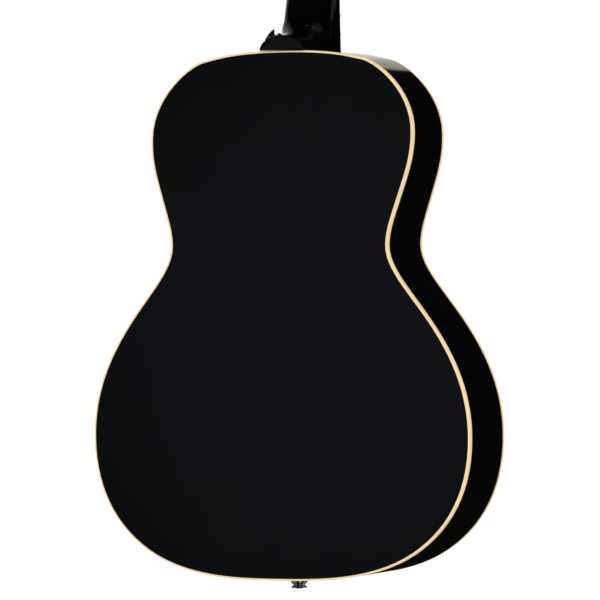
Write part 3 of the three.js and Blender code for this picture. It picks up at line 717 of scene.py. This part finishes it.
def heelRing(z):
    # the wall of the section and its crown are stepped apart, so that the cap's edge stays sharp
    ahead = z - bodyShape["length"] - neckGap
    top = heelTop(ahead, neckDepth(z))
    levels = [top * math.sin(math.pi / 2 * i / neckMesh["levels"]) for i in range(neckMesh["levels"] + 1)]
    side = [(neckSide(y, z, ahead), y) for y in levels]
    past = ahead - neckShape["heelReach"]
    if past > 0:
        # ahead of the cap the crown opens out from its tip, and the heel runs into the shaft in a fillet
        fine = neckMesh["fine"]
        line = evenly(side, fine)
        step = math.dist(line[0], line[1])
        line += [(-x, y) for x, y in reversed(line[:-1])]
        fillet = neckMesh["fillet"] * clamp((past - 2) / 14) * clamp((54 - past) / 14)
        for _ in range(2):
            line = eased(line, round(fillet / step))
        share = min(neckMesh["crown"] / neckColumns, 5 * math.sqrt(past) / (fine * step))
        cut = min(round(fine * (1 - share)), fine - 1)
        wall = evenly(line[:cut + 1], neckMesh["wall"])
        crown = line[cut:len(line) - cut]
    else:
        wall = evenly(side, neckMesh["wall"])
        crown = [side[-1], (-side[-1][0], side[-1][1])]
    crown = evenly(crown, neckMesh["crown"])
    section = wall + crown[1:-1] + [(-x, y) for x, y in reversed(wall)]
    return [place(x, y, z) for x, y in section]


def shaftRing(z):
    half, depth = neckHalf(z), neckDepth(z)
    xs = [half * math.cos(math.pi * i / neckColumns) for i in range(neckColumns + 1)]
    return [place(x, shaftProfile(x, half, depth), z) for x in xs]


def headHalf(z):
    # half width of the headstock from the nut to the arched tip
    wide, corner, length = neckShape["headHalf"], 9, neckShape["headLength"]
    shoulder = wide - 4
    if z < 30:
        t = max(z + 1, 0) / 31
        return neckShape["nutHalf"] + (shoulder - neckShape["nutHalf"]) * (3 * t * t - 2 * t ** 3)
    line = shoulder + 4 * min((z - 30) / (length - corner - 30), 1)
    if z <= length - corner:
        return line
    if z <= length:
        t = (z - length + corner) / corner
        return wide - corner * (1 - math.sqrt(max(1 - t * t, 0)))
    return (wide - corner) * math.sqrt(max(1 - (z - length) / 3.4, 0))


def headRing(z):
    # the round neck turns into the flat headstock just past the nut
    power = neckShape["round"] + 12 * clamp((z + 4) / 26) ** 2
    half, thick = headHalf(z), neckShape["headThickness"]
    xs = [half * math.cos(math.pi * i / neckColumns) for i in range(neckColumns + 1)]
    return [headPlace(x, shaftProfile(x, half, thick, power), z) for x in xs]


def makeNeck():
    # rings are close where the heel curves, first under its cap, then at even steps down its middle line
    start = bodyShape["length"] + neckGap
    tip, depth = neckShape["heelReach"], neckShape["heelDepth"]
    drops = [depth + (neckShape["heelEnd"] - depth) * i / 200 for i in range(200, -1, -1)]
    aheads = [tip * math.sin(math.pi / 2 * i / 16) for i in range(16)]
    for ahead, level in evenly([(heelSize(drop)[1], drop) for drop in drops], 50):
        if ahead - aheads[-1] > neckMesh["least"] or ahead == tip:
            aheads.append(ahead)
    rings = [heelRing(start + ahead) for ahead in aheads]
    rings += [shaftRing(start + ahead) for ahead in (68, 71, 76, 82)]
    last = neckEnd - 8
    rings += [shaftRing(start + 82 + (last - start - 82) * i / 10) for i in range(1, 11)]
    end = neckShape["headLength"] + 3.25
    rings += [headRing(z) for z in (-1, 2, 5, 8, 11, 14, 17, 20, 23, 26, 30, 50, 80, 110, 140, 155)]
    rings += [headRing(z) for z in (159, 161, 163, 165, 166.5, 167.5, 168, 169, 170, 170.8, end)]
    piece = loft("neckWood", rings, caps=True)
    settle(piece, "black_lacquer", "neck", angle=45)


makeNeck()

capLook = {"thickness": 2.2, "round": 0.5}


def makeHeelCap():
    low = neckShape["heelEnd"] + 0.1
    high = low + capLook["thickness"] + 0.1
    start = bodyShape["length"] + 0.1
    outline = []
    for i in range(49):
        turn = math.pi * i / 48
        outline.append((neckShape["heelHalf"] * math.cos(turn), neckShape["heelReach"] * math.sin(turn)))
    rings = []
    for y, order in ((high, (0, 0.6, 1)), (low, (1, 0.6, 0))):
        for amount in order:
            rings.append([place(x * amount, y, start + 5 * (1 - amount) + z * amount) for x, z in outline])
    piece = loft("heelCapPlate", rings)
    soften(piece, capLook["round"], 3, 50)
    settle(piece, "black_lacquer", "heel_cap")


makeHeelCap()

boardLook = {"thickness": 6, "end": 402, "radius": 305, "frets": 20, "wide": 2.2, "high": 1.1, "dot": 3.0}


def boardTop(x):
    radius = boardLook["radius"]
    return -boardLook["thickness"] + radius - math.sqrt(radius * radius - x * x)


boardStops = [boardLook["end"] + (nutZ - 0.2 - boardLook["end"]) * i / 8 for i in range(9)]


def fretZ(number):
    return nutZ - neckShape["scale"] * (1 - 2 ** (-number / 12))


def makeFretboard():
    rings = []
    for z in boardStops:
        half = neckHalf(z)
        xs = [half * (i / 8 - 1) for i in range(17)]
        rings.append([place(x, boardTop(x), z) for x in xs] + [place(half, -0.1, z), place(-half, -0.1, z)])
    piece = loft("fretboardWood", rings, caps=True)
    soften(piece, 0.4, 2, 50)
    settle(piece, "rosewood", "fretboard")


def makeBoardEdges():
    # the black finish of the neck is carried up the edges of the fretboard
    for side, name in ((1, "Treble"), (-1, "Bass")):
        rings = []
        for z in boardStops:
            out, top = neckHalf(z) + 0.12, boardTop(neckHalf(z)) + 0.35
            section = [(out, 0), (out, top), (out - 0.4, top), (out - 0.4, 0)]
            rings.append([place(side * x, y, z) for x, y in section])
        piece = loft("fretboardEdge" + name, rings, caps=True)
        settle(piece, "black_lacquer")


def makeFrets():
    # bent wire with a half-round crown, its ends filed in
    for number in range(1, boardLook["frets"] + 1):
        z = fretZ(number)
        half = neckHalf(z) + 0.2
        rings = []
        for i in range(15):
            x = half * (i / 7 - 1)
            high = boardLook["high"] * (0.45 if i in (0, 14) else 1)
            ring = []
            for k in range(7):
                turn = math.pi * k / 6
                ring.append(place(x, boardTop(x) + 0.3 - (high + 0.3) * math.sin(turn) ** 0.8,
                                  z + boardLook["wide"] / 2 * math.cos(turn)))
            rings.append(ring)
        piece = loft("fret%02d" % number, rings, caps=True)
        settle(piece, "nickel", angle=60, material=fretWire)


def makeDots():
    spots = [(3, 0), (5, 0), (7, 0), (9, 0), (12, -7.5), (12, 7.5), (15, 0), (17, 0), (19, 0)]
    for number, (fret, x) in enumerate(spots, 1):
        z = (fretZ(fret - 1) + fretZ(fret)) / 2
        rings = []
        for radius, drop in ((0, -0.06), (boardLook["dot"] * 0.6, -0.06), (boardLook["dot"], -0.06),
                             (boardLook["dot"], 0.5), (0, 0.5)):
            ring = circle(radius, 0, 24, (x, z))
            rings.append([place(p.x, boardTop(p.x) + drop, p.z) for p in ring])
        piece = loft("positionDot%d" % number, rings)
        settle(piece, "bone", material=dotPearl)


makeFretboard()
makeBoardEdges()
makeFrets()
makeDots()
print("stage: neck")

bridgeLook = {
    "saddleZ": 207, "half": 76, "shoulder": 44, "thick": 8.5, "wing": 3.5, "before": 22, "after": 8,
    "pinZ": 192, "spread": 54, "pinCount": 6,
}


def bridgeHeight(x):
    # full height to the shoulder, then hollowed down to a thin wing
    t = clamp((abs(x) - bridgeLook["shoulder"]) / (bridgeLook["half"] - 8 - bridgeLook["shoulder"]))
    drop = bridgeLook["thick"] - bridgeLook["wing"]
    return bridgeLook["thick"] - drop * (1 - (1 - t) ** 2.2)


def makeBridge():
    half = bridgeLook["half"]
    low, high = bridgeLook["saddleZ"] - bridgeLook["before"], bridgeLook["saddleZ"] + bridgeLook["after"]
    rings = []
    for i in range(61):
        x = half * (i / 30 - 1)
        top = bridgeHeight(x)
        section = [(-0.05, low)] + [(-top, low + (high - low) * k / 6) for k in range(7)] + [(-0.05, high)]
        rings.append([place(x, y, z) for y, z in section])
    piece = loft("bridgeWood", rings, caps=True)
    soften(piece, 0.9, 3, 50)
    settle(piece, "rosewood", "bridge")


def makePins():
    collar = -bridgeLook["thick"] - 0.3
    profile = smoothProfile([
        (0, collar - 3.3), (1.9, collar - 3.0), (3.3, collar - 2), (3.7, collar - 0.8), (3.5, collar - 0.1),
        (2.6, collar), (2.5, 4), (2.2, 15), (1.2, 17), (0, 17),
    ])
    eye = [(0, collar - 3.42), (1.05, collar - 3.36), (1.15, collar - 2.6), (0, collar - 2.4)]
    pinModel = turned("pinModel", profile, Matrix.Identity(4), 24)
    eyeModel = turned("eyeModel", eye, Matrix.Identity(4), 16)
    for number in range(1, bridgeLook["pinCount"] + 1):
        x = bridgeLook["spread"] * (0.5 - (number - 1) / 5)
        matrix = Matrix.Translation(place(x, 0, bridgeLook["pinZ"]))
        body = "pin_%d" % number
        pin = copyOf(pinModel, "bridgePin%d" % number, matrix)
        settle(pin, "bone", "bridge_pin_%d" % number, body)
        dot = copyOf(eyeModel, "bridgePinEye%d" % number, matrix)
        settle(dot, "black_lacquer", None, body)
    dropModels(pinModel, eyeModel)


makeBridge()
makePins()
print("stage: bridge")

screwLook = {"radius": 1.7, "high": 0.9, "slotWide": 0.42, "slotLong": 2.3, "slotDeep": 0.55}


def makeScrew():
    # a domed head with a cross slot, modelled once at the origin and copied
    r, h = screwLook["radius"], screwLook["high"]
    dome = [(0, h), (r * 0.5, h * 0.9), (r * 0.85, h * 0.55), (r, 0.1), (r, -0.3), (0, -0.3)]
    head = turned("screwModel", dome, Matrix.Identity(4), 20)
    for turn in (0, math.pi / 2):
        deselect()
        bpy.ops.mesh.primitive_cube_add(size=1)
        cutter = bpy.context.object
        size = Matrix.Diagonal((screwLook["slotLong"] * mm, 2 * screwLook["slotDeep"] * mm,
                                screwLook["slotWide"] * mm, 1))
        cutter.data.transform(Matrix.Translation((0, h * mm, 0)) @ Matrix.Rotation(turn, 4, "Y") @ size)
        slot = head.modifiers.new("slot", "BOOLEAN")
        slot.operation = "DIFFERENCE"
        slot.object = cutter
        applyAll(head)
        dropModels(cutter)
    return head


screwModel = makeScrew()
screws = []


def addScrew(at, way, size, turn, high=None):
    up = Vector((0, 1, 0)).rotation_difference(way).to_matrix().to_4x4()
    shape = Matrix.Diagonal((size, high or size, size, 1))
    matrix = Matrix.Translation(at) @ up @ Matrix.Rotation(turn, 4, "Y") @ shape
    piece = copyOf(screwModel, "screw%02d" % (len(screws) + 1), matrix)
    screws.append(settle(piece, "nickel"))


tunerLook = {
    "postX": 21, "places": [38, 78, 118], "postRadius": 3.15, "postTop": -15.5,
    "plateBack": 16.5, "plateScrewX": 26.2, "plateScrews": [29.8, 59, 99, 134.2],
    "gearMiddle": 20.0, "gearRadius": 6.3, "gearHalf": 2, "tooth": 0.75, "teeth": 16, "offset": 9.6,
    "wormFrom": 15.7, "wormLong": 10.9, "wormPitch": 2.4, "wormCore": 2.05, "wormThread": 0.9,
    "buttonMiddle": 51.4, "buttonHalf": 8.1, "buttonWide": 9.7, "buttonThick": 3.8,
}


def postMatrix(side, z):
    return Matrix.Translation(headPlace(side * tunerLook["postX"], 0, z)) @ headTurn


def knobMatrix(side, z):
    # the worm's shaft lies along the headstock's x axis, square to the post
    centre = headPlace(0, tunerLook["gearMiddle"], z + tunerLook["offset"])
    return Matrix.Translation(centre) @ headTurn @ Matrix.Rotation(-side * math.pi / 2, 4, "Z")


def postModel():
    r, top = tunerLook["postRadius"], tunerLook["postTop"]
    back, middleY = tunerLook["plateBack"], tunerLook["gearMiddle"]
    profile = [(0, top), (r - 0.8, top), (r, top + 0.6), (r, -11), (r - 0.25, -10.2), (r - 0.35, -6),
               (r, -4.8), (r, back + 0.3), (4.4, back + 0.4), (4.4, middleY - 2.2), (2.6, middleY - 2.2),
               (2.6, middleY + 3.0), (2.2, middleY + 3.3), (0, middleY + 3.3)]
    return turned("postModel", smoothProfile(profile, 3), Matrix.Identity(4), 24)


def gearModel():
    # four points to a tooth: root, tip, tip, root
    look = tunerLook
    low, high = look["gearMiddle"] - look["gearHalf"], look["gearMiddle"] + look["gearHalf"]
    root = look["gearRadius"] - 0.8
    rings = []
    for share, y in ((0, low), (1, low), (1, high), (0, high)):
        ring = []
        for i in range(look["teeth"] * 4):
            reach = share * (root + (look["tooth"] if i % 4 in (1, 2) else 0))
            turn = math.pi / 2 * i / look["teeth"]
            ring.append(Vector((reach * math.cos(turn), y, reach * math.sin(turn))) * mm)
        rings.append(ring)
    gear = loft("gearModel", rings)
    soften(gear, 0.12, 1)
    return gear


def stemModel():
    # worm bearings, shaft and the collar that carries the button
    profile = smoothProfile([
        (0, 12.6), (1.7, 12.6), (1.9, 13), (1.9, 15.2), (2.4, 15.3), (2.4, 15.6), (1.9, 15.7),
        (1.9, 26.6), (2.4, 26.7), (2.4, 26.9), (1.9, 27), (1.9, 38.6), (2.9, 39.4), (2.9, 40.2),
        (2.2, 40.8), (3.4, 42), (3.4, 43.6), (1.8, 45), (0, 45),
    ], 3)
    return turned("stemModel", profile, Matrix.Identity(4), 24)


def wormModel(steps=40, count=20):
    # one thread wound along the shaft, run out at both ends
    look = tunerLook
    rings = []
    for i in range(steps + 1):
        along = look["wormFrom"] + look["wormLong"] * i / steps
        fade = min(1, i / 3, (steps - i) / 3)
        ring = []
        for k in range(count):
            phase = along / look["wormPitch"] - k / count
            crest = max(0, math.cos(math.tau * phase)) ** 0.7
            radius = look["wormCore"] + fade * look["wormThread"] * crest
            angle = math.tau * k / count
            ring.append(Vector((radius * math.cos(angle), along, radius * math.sin(angle))) * mm)
        rings.append(ring)
    return loft("wormModel", rings, caps=True)


def buttonModel(steps=14, count=28):
    # an oval paddle, thinner along its middle
    look = tunerLook
    rings = []
    for i in range(steps + 1):
        t = math.pi * (0.04 + 0.92 * i / steps)
        along = look["buttonMiddle"] - look["buttonHalf"] * math.cos(t)
        wide = look["buttonWide"] * math.sin(t) ** 0.62
        thick = look["buttonThick"] * math.sin(t) ** 0.45
        ring = []
        for k in range(count):
            c, s = math.cos(math.tau * k / count), math.sin(math.tau * k / count)
            x = wide * math.copysign(abs(c) ** 0.8, c)
            pinch = 0.72 + 0.28 * (x / look["buttonWide"]) ** 2
            z = thick * math.copysign(abs(s) ** 0.7, s) * pinch
            ring.append(Vector((x, along, z)) * mm)
        rings.append(ring)
    button = loft("buttonModel", rings, caps=True)
    smooth = button.modifiers.new("smooth", "SUBSURF")
    smooth.levels = 1
    smooth.render_levels = 1
    applyAll(button)
    return button


def bushingModel():
    section = [(3.4, -1.3), (4.6, -1.3), (5.4, -0.5), (5.4, 0.4), (3.4, 0.4)]
    rings = [[point * mm for point in circle(radius, y, 28)] for radius, y in section]
    return loft("bushingModel", rings, closeRows=True)


def makeTuners():
    post, gear, bushing = postModel(), gearModel(), bushingModel()
    stem, worm, button = stemModel(), wormModel(), buttonModel()
    for number in range(1, 7):
        side = 1 if number <= 3 else -1
        z = tunerLook["places"][(number if number <= 3 else 7 - number) - 1]
        postBody, knobBody = "post_%d" % number, "knob_%d" % number
        at, along = postMatrix(side, z), knobMatrix(side, z)
        piece = copyOf(post, "stringPost%d" % number, at)
        settle(piece, "nickel", "tuner_post_%d" % number, postBody)
        settle(copyOf(gear, "gearWheel%d" % number, at), "nickel", None, postBody, material=wheelBrass)
        piece = copyOf(stem, "wormShaft%d" % number, along)
        settle(piece, "nickel", "tuner_knob_%d" % number, knobBody)
        settle(copyOf(worm, "worm%d" % number, along), "nickel", None, knobBody, 60, wheelBrass)
        settle(copyOf(button, "tunerButton%d" % number, along), "bone", None, knobBody, 60, buttonCream)
        settle(copyOf(bushing, "postBushing%d" % number, at), "nickel")
    dropModels(post, gear, bushing, stem, worm, button)
    back, front = headTurn @ Vector((0, 1, 0)), headTurn @ Vector((0, -1, 0))
    for side in (1, -1):
        for z in tunerLook["plateScrews"]:
            at = headPlace(side * tunerLook["plateScrewX"], tunerLook["plateBack"], z)
            addScrew(at, back, 0.95, 0.5 + z)
        for z in tunerLook["places"]:
            at = headPlace(side * tunerLook["postX"], tunerLook["gearMiddle"] + 3.1, z)
            addScrew(at, back, 0.9, z)
    for z in (6, 32.5):
        addScrew(headPlace(0, -2.3, z), front, 0.8, 0.9 + z)


makeTuners()
print("stage: tuning machines")

buttonLook = {"turn": math.radians(32), "y": 37, "height": 9.4, "seat": 0.9, "endDeep": 10}


def heelButtonMatrix():
    # square on the heel's curved side, treble half
    y, turn = buttonLook["y"], buttonLook["turn"]
    half, reach = heelSize(y)
    x, z = half * math.cos(turn), reach * math.sin(turn)

    def level(px, py, pz):
        h, r = heelSize(py)
        return (px / h) ** 2 + (pz / r) ** 2

    d = 0.01
    way = Vector((
        level(x + d, y, z) - level(x - d, y, z),
        level(x, y + d, z) - level(x, y - d, z),
        level(x, y, z + d) - level(x, y, z - d),
    )).normalized()
    at = place(x, y, bodyShape["length"] + neckGap + z) + way * buttonLook["seat"] * mm
    turnTo = Vector((0, 1, 0)).rotation_difference(way).to_matrix().to_4x4()
    return Matrix.Translation(at) @ turnTo, way


def makeStrapButtons():
    matrix, way = heelButtonMatrix()
    h = buttonLook["height"]
    profile = smoothProfile([
        (0, -0.9), (7.1, -0.9), (7.6, -0.4), (7.6, 1.7), (7, 2.3), (4.4, 3), (3.6, 4), (3.7, 5),
        (5, 6.2), (7, 7.3), (7, h - 1.2), (6.2, h - 0.8), (3.6, h - 0.9), (3.5, h - 1.3), (0, h - 1.4),
    ], 5)
    heel = turned("heelStrapButton", profile, matrix, 48)
    settle(heel, "nickel", "heel_strap_button", angle=50)
    addScrew(matrix @ Vector((0, (h - 1.35) * mm, 0)), way, 1.7, 0.3)
    tail = Matrix.Translation(place(0, bodyShape["tailDepth"] / 2, -0.1))
    tail = tail @ Matrix.Rotation(-math.pi / 2, 4, "X")
    profile = smoothProfile([
        (0, -0.2), (7.2, -0.2), (7.7, 0.3), (7.7, 4.2), (7.2, 4.8), (5.7, 5.6), (5.4, 6.3), (5.8, 7.1),
        (7.4, 7.9), (7.6, 8.5), (7.2, 9), (4.9, 9.1), (0, 9.1),
    ], 5)
    end = turned("endStrapButton", profile, tail, 48)
    settle(end, "nickel", "end_button", angle=50)
    down = Vector((0, 0, -1))
    addScrew(tail @ Vector((0, (buttonLook["endDeep"] - 0.95) * mm, 0)), down, 2.6, 0.2, 0.95)


makeStrapButtons()
dropModels(screwModel)
print("stage: strap buttons")

studio = {
    "floorDrop": 0.35, "azimuth": 202.548, "elevation": 0.776, "distance": 5.0046,
    "pan": -0.0527, "tilt": 0.156, "roll": 0.598, "lens": 323.5,
    "ambient": 0.95, "sky": 0.62, "skyWide": 70, "dark": 0.004,
    "sheetEdge": {"From Min": -0.12, "From Max": -0.03},
}

# Soft boxes that the lacquer and metal reflect: azimuth (0 in front, 90 at the treble side), elevation,
# full to this angle, gone at that angle, colour, strength.
softBoxes = {
    "backdrop": (22.5, 0, 24.4, 26.2, "#fff8ea", 0.74),
    "greyWall": (159.9, 2.6, 1, 17, "#e2ebfd", 0.15),
    "greyRoom": (160, 5, 10, 60, "#eef2ff", 0.02),
    "overhead": (270, 70, 3, 24, "#f4f8ff", 0.2),
    "trebleBox": (60, 8, 14, 38, "#fffdf8", 0.45),
    "bassBox": (298, 6, 4, 14, "#ffffff", 0.25),
    "headBox": (125, -35, 5, 18, "#fffdf8", 0.6),
    "lowFront": (315, -25, 6, 26, "#ffffff", 0.7),
    "lowBack": (135, -15, 3, 16, "#ffffff", 0.5),
    "bassLow": (280, -28, 10, 22, "#ffffff", 1.2),
}


def towards(azimuth, elevation):
    a, e = math.radians(azimuth), math.radians(elevation)
    return Vector((math.sin(a) * math.cos(e), -math.cos(a) * math.cos(e), math.sin(e)))


def makeFloor():
    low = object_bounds()[0][2] - studio["floorDrop"]
    deselect()
    bpy.ops.mesh.primitive_plane_add(size=40, location=(0, 0, 0))
    floor = bpy.context.object
    floor.name = "studioFloor"
    floor.data.transform(Matrix.Translation((0, 0, low)))
    material, made = startMaterial("paleFloor", {"cloud": (400, 2)})
    color = made["cloud"], [(0.3, "#fdfdfc"), (0.7, "#fbfbfa")]
    finishMaterial(material, color, None, values={"Roughness": 0.95, "Specular IOR Level": 0.1})
    floor.data.materials.append(material)
    floor.visible_glossy = False


def boxColor(tree, direction, name):
    azimuth, elevation, inner, outer, color, strength = softBoxes[name]
    dot = addNode(tree, "ShaderNodeVectorMath", {"operation": "DOT_PRODUCT"},
                  {1: towards(azimuth, elevation)}, {0: direction})
    limits = {"From Min": math.cos(math.radians(outer)), "From Max": math.cos(math.radians(inner))}
    mask = addNode(tree, "ShaderNodeMapRange", values=limits, links={"Value": dot["Value"]})
    tint = [value * strength for value in linear(color)[:3]]
    return addNode(tree, "ShaderNodeVectorMath", {"operation": "SCALE"}, {0: tint},
                   {"Scale": mask["Result"]})["Vector"]


def makeWorld():
    # the camera sees a white sheet and matt surfaces an even room; gloss sees dark with soft boxes
    world = bpy.data.worlds.new("studioRoom")
    bpy.context.scene.world = world
    world.use_nodes = True
    tree = world.node_tree
    tree.nodes.clear()
    direction = addNode(tree, "ShaderNodeTexCoord")["Generated"]
    split = addNode(tree, "ShaderNodeSeparateXYZ", links={"Vector": direction})
    above = addNode(tree, "ShaderNodeMapRange", values=studio["sheetEdge"], links={"Value": split["Z"]})
    total = addNode(tree, "ShaderNodeVectorMath", {"operation": "SCALE"}, None,
                    {0: boxColor(tree, direction, "backdrop"), "Scale": above["Result"]})["Vector"]
    for name in softBoxes:
        if name != "backdrop":
            both = {0: total, 1: boxColor(tree, direction, name)}
            total = addNode(tree, "ShaderNodeVectorMath", {"operation": "ADD"}, links=both)["Vector"]
    total = addNode(tree, "ShaderNodeVectorMath", {"operation": "ADD"}, {1: [studio["dark"]] * 3},
                    {0: total})["Vector"]
    path = addNode(tree, "ShaderNodeLightPath")
    white = addNode(tree, "ShaderNodeBackground", values={"Color": linear("#ffffff"), "Strength": 1})
    room = addNode(tree, "ShaderNodeBackground",
                   values={"Color": linear("#ffffff"), "Strength": studio["ambient"]})
    gloss = addNode(tree, "ShaderNodeBackground", links={"Color": total})
    soft = addNode(tree, "ShaderNodeMixShader", links={0: path["Is Diffuse Ray"], 1: gloss[0], 2: room[0]})
    seen = addNode(tree, "ShaderNodeMixShader", links={0: path["Is Camera Ray"], 1: soft[0], 2: white[0]})
    addNode(tree, "ShaderNodeOutputWorld", links={"Surface": seen[0]})


# Area lights that matt surfaces see: azimuth, elevation, distance, width and height in metres, radiance.
areaLights = {
    "keyBox": (240, 38, 2.8, 1.4, 1.4, 3.2),
    "fillBox": (110, 25, 3.2, 1.6, 1.6, 1.6),
    "frontBox": (20, 30, 3.2, 1.6, 1.6, 2.0),
    "stripBox": (219, -4, 0.6, 0.09, 0.3, 2.2),
}


def makeLights():
    # three boxes face the body, and a strip that metal reflects too faces the end button
    body = Vector((0, 0.04, tailZ + 0.25))
    button = place(0, bodyShape["tailDepth"] / 2, -4)
    for name, (azimuth, elevation, distance, wide, high, radiance) in areaLights.items():
        light = bpy.data.lights.new(name, "AREA")
        light.shape = "RECTANGLE"
        light.size, light.size_y = wide, high
        light.energy = radiance * math.pi * wide * high
        lamp = addObject(name, light)
        way = towards(azimuth, elevation)
        lamp.location = (button if name == "stripBox" else body) + way * distance
        lamp.rotation_euler = (-way).to_track_quat("-Z", "Y").to_euler()
        lamp.visible_camera = False
        lamp.visible_glossy = name == "stripBox"
    sky = bpy.data.lights.new("skyLight", "SUN")
    sky.energy, sky.angle = studio["sky"], math.radians(studio["skyWide"])
    addObject("skyLight", sky).visible_glossy = False


def makeCamera():
    # the view is turned to its place, then panned, tilted and rolled on itself
    back = towards(studio["azimuth"], studio["elevation"])
    target = place(0, 50, bodyShape["length"] / 2)
    forward = -back
    right = forward.cross(Vector((0, 0, 1))).normalized()
    up = right.cross(forward)
    pan = Matrix.Rotation(math.radians(studio["pan"]), 3, up)
    forward, right = pan @ forward, pan @ right
    tilt = Matrix.Rotation(math.radians(studio["tilt"]), 3, right)
    forward, up = tilt @ forward, tilt @ up
    roll = Matrix.Rotation(math.radians(studio["roll"]), 3, forward)
    right, up = roll @ right, roll @ up
    data = bpy.data.cameras.new("viewCamera")
    data.sensor_width = 36
    data.lens = studio["lens"]
    data.clip_end = 100
    camera = addObject("viewCamera", data)
    turn = Matrix((right, up, -forward)).transposed().to_4x4()
    camera.matrix_world = Matrix.Translation(target + back * studio["distance"]) @ turn
    bpy.context.scene.camera = camera


makeFloor()
makeWorld()
makeLights()
makeCamera()
bpy.context.scene.view_settings.view_transform = "Standard"
print("stage: studio")
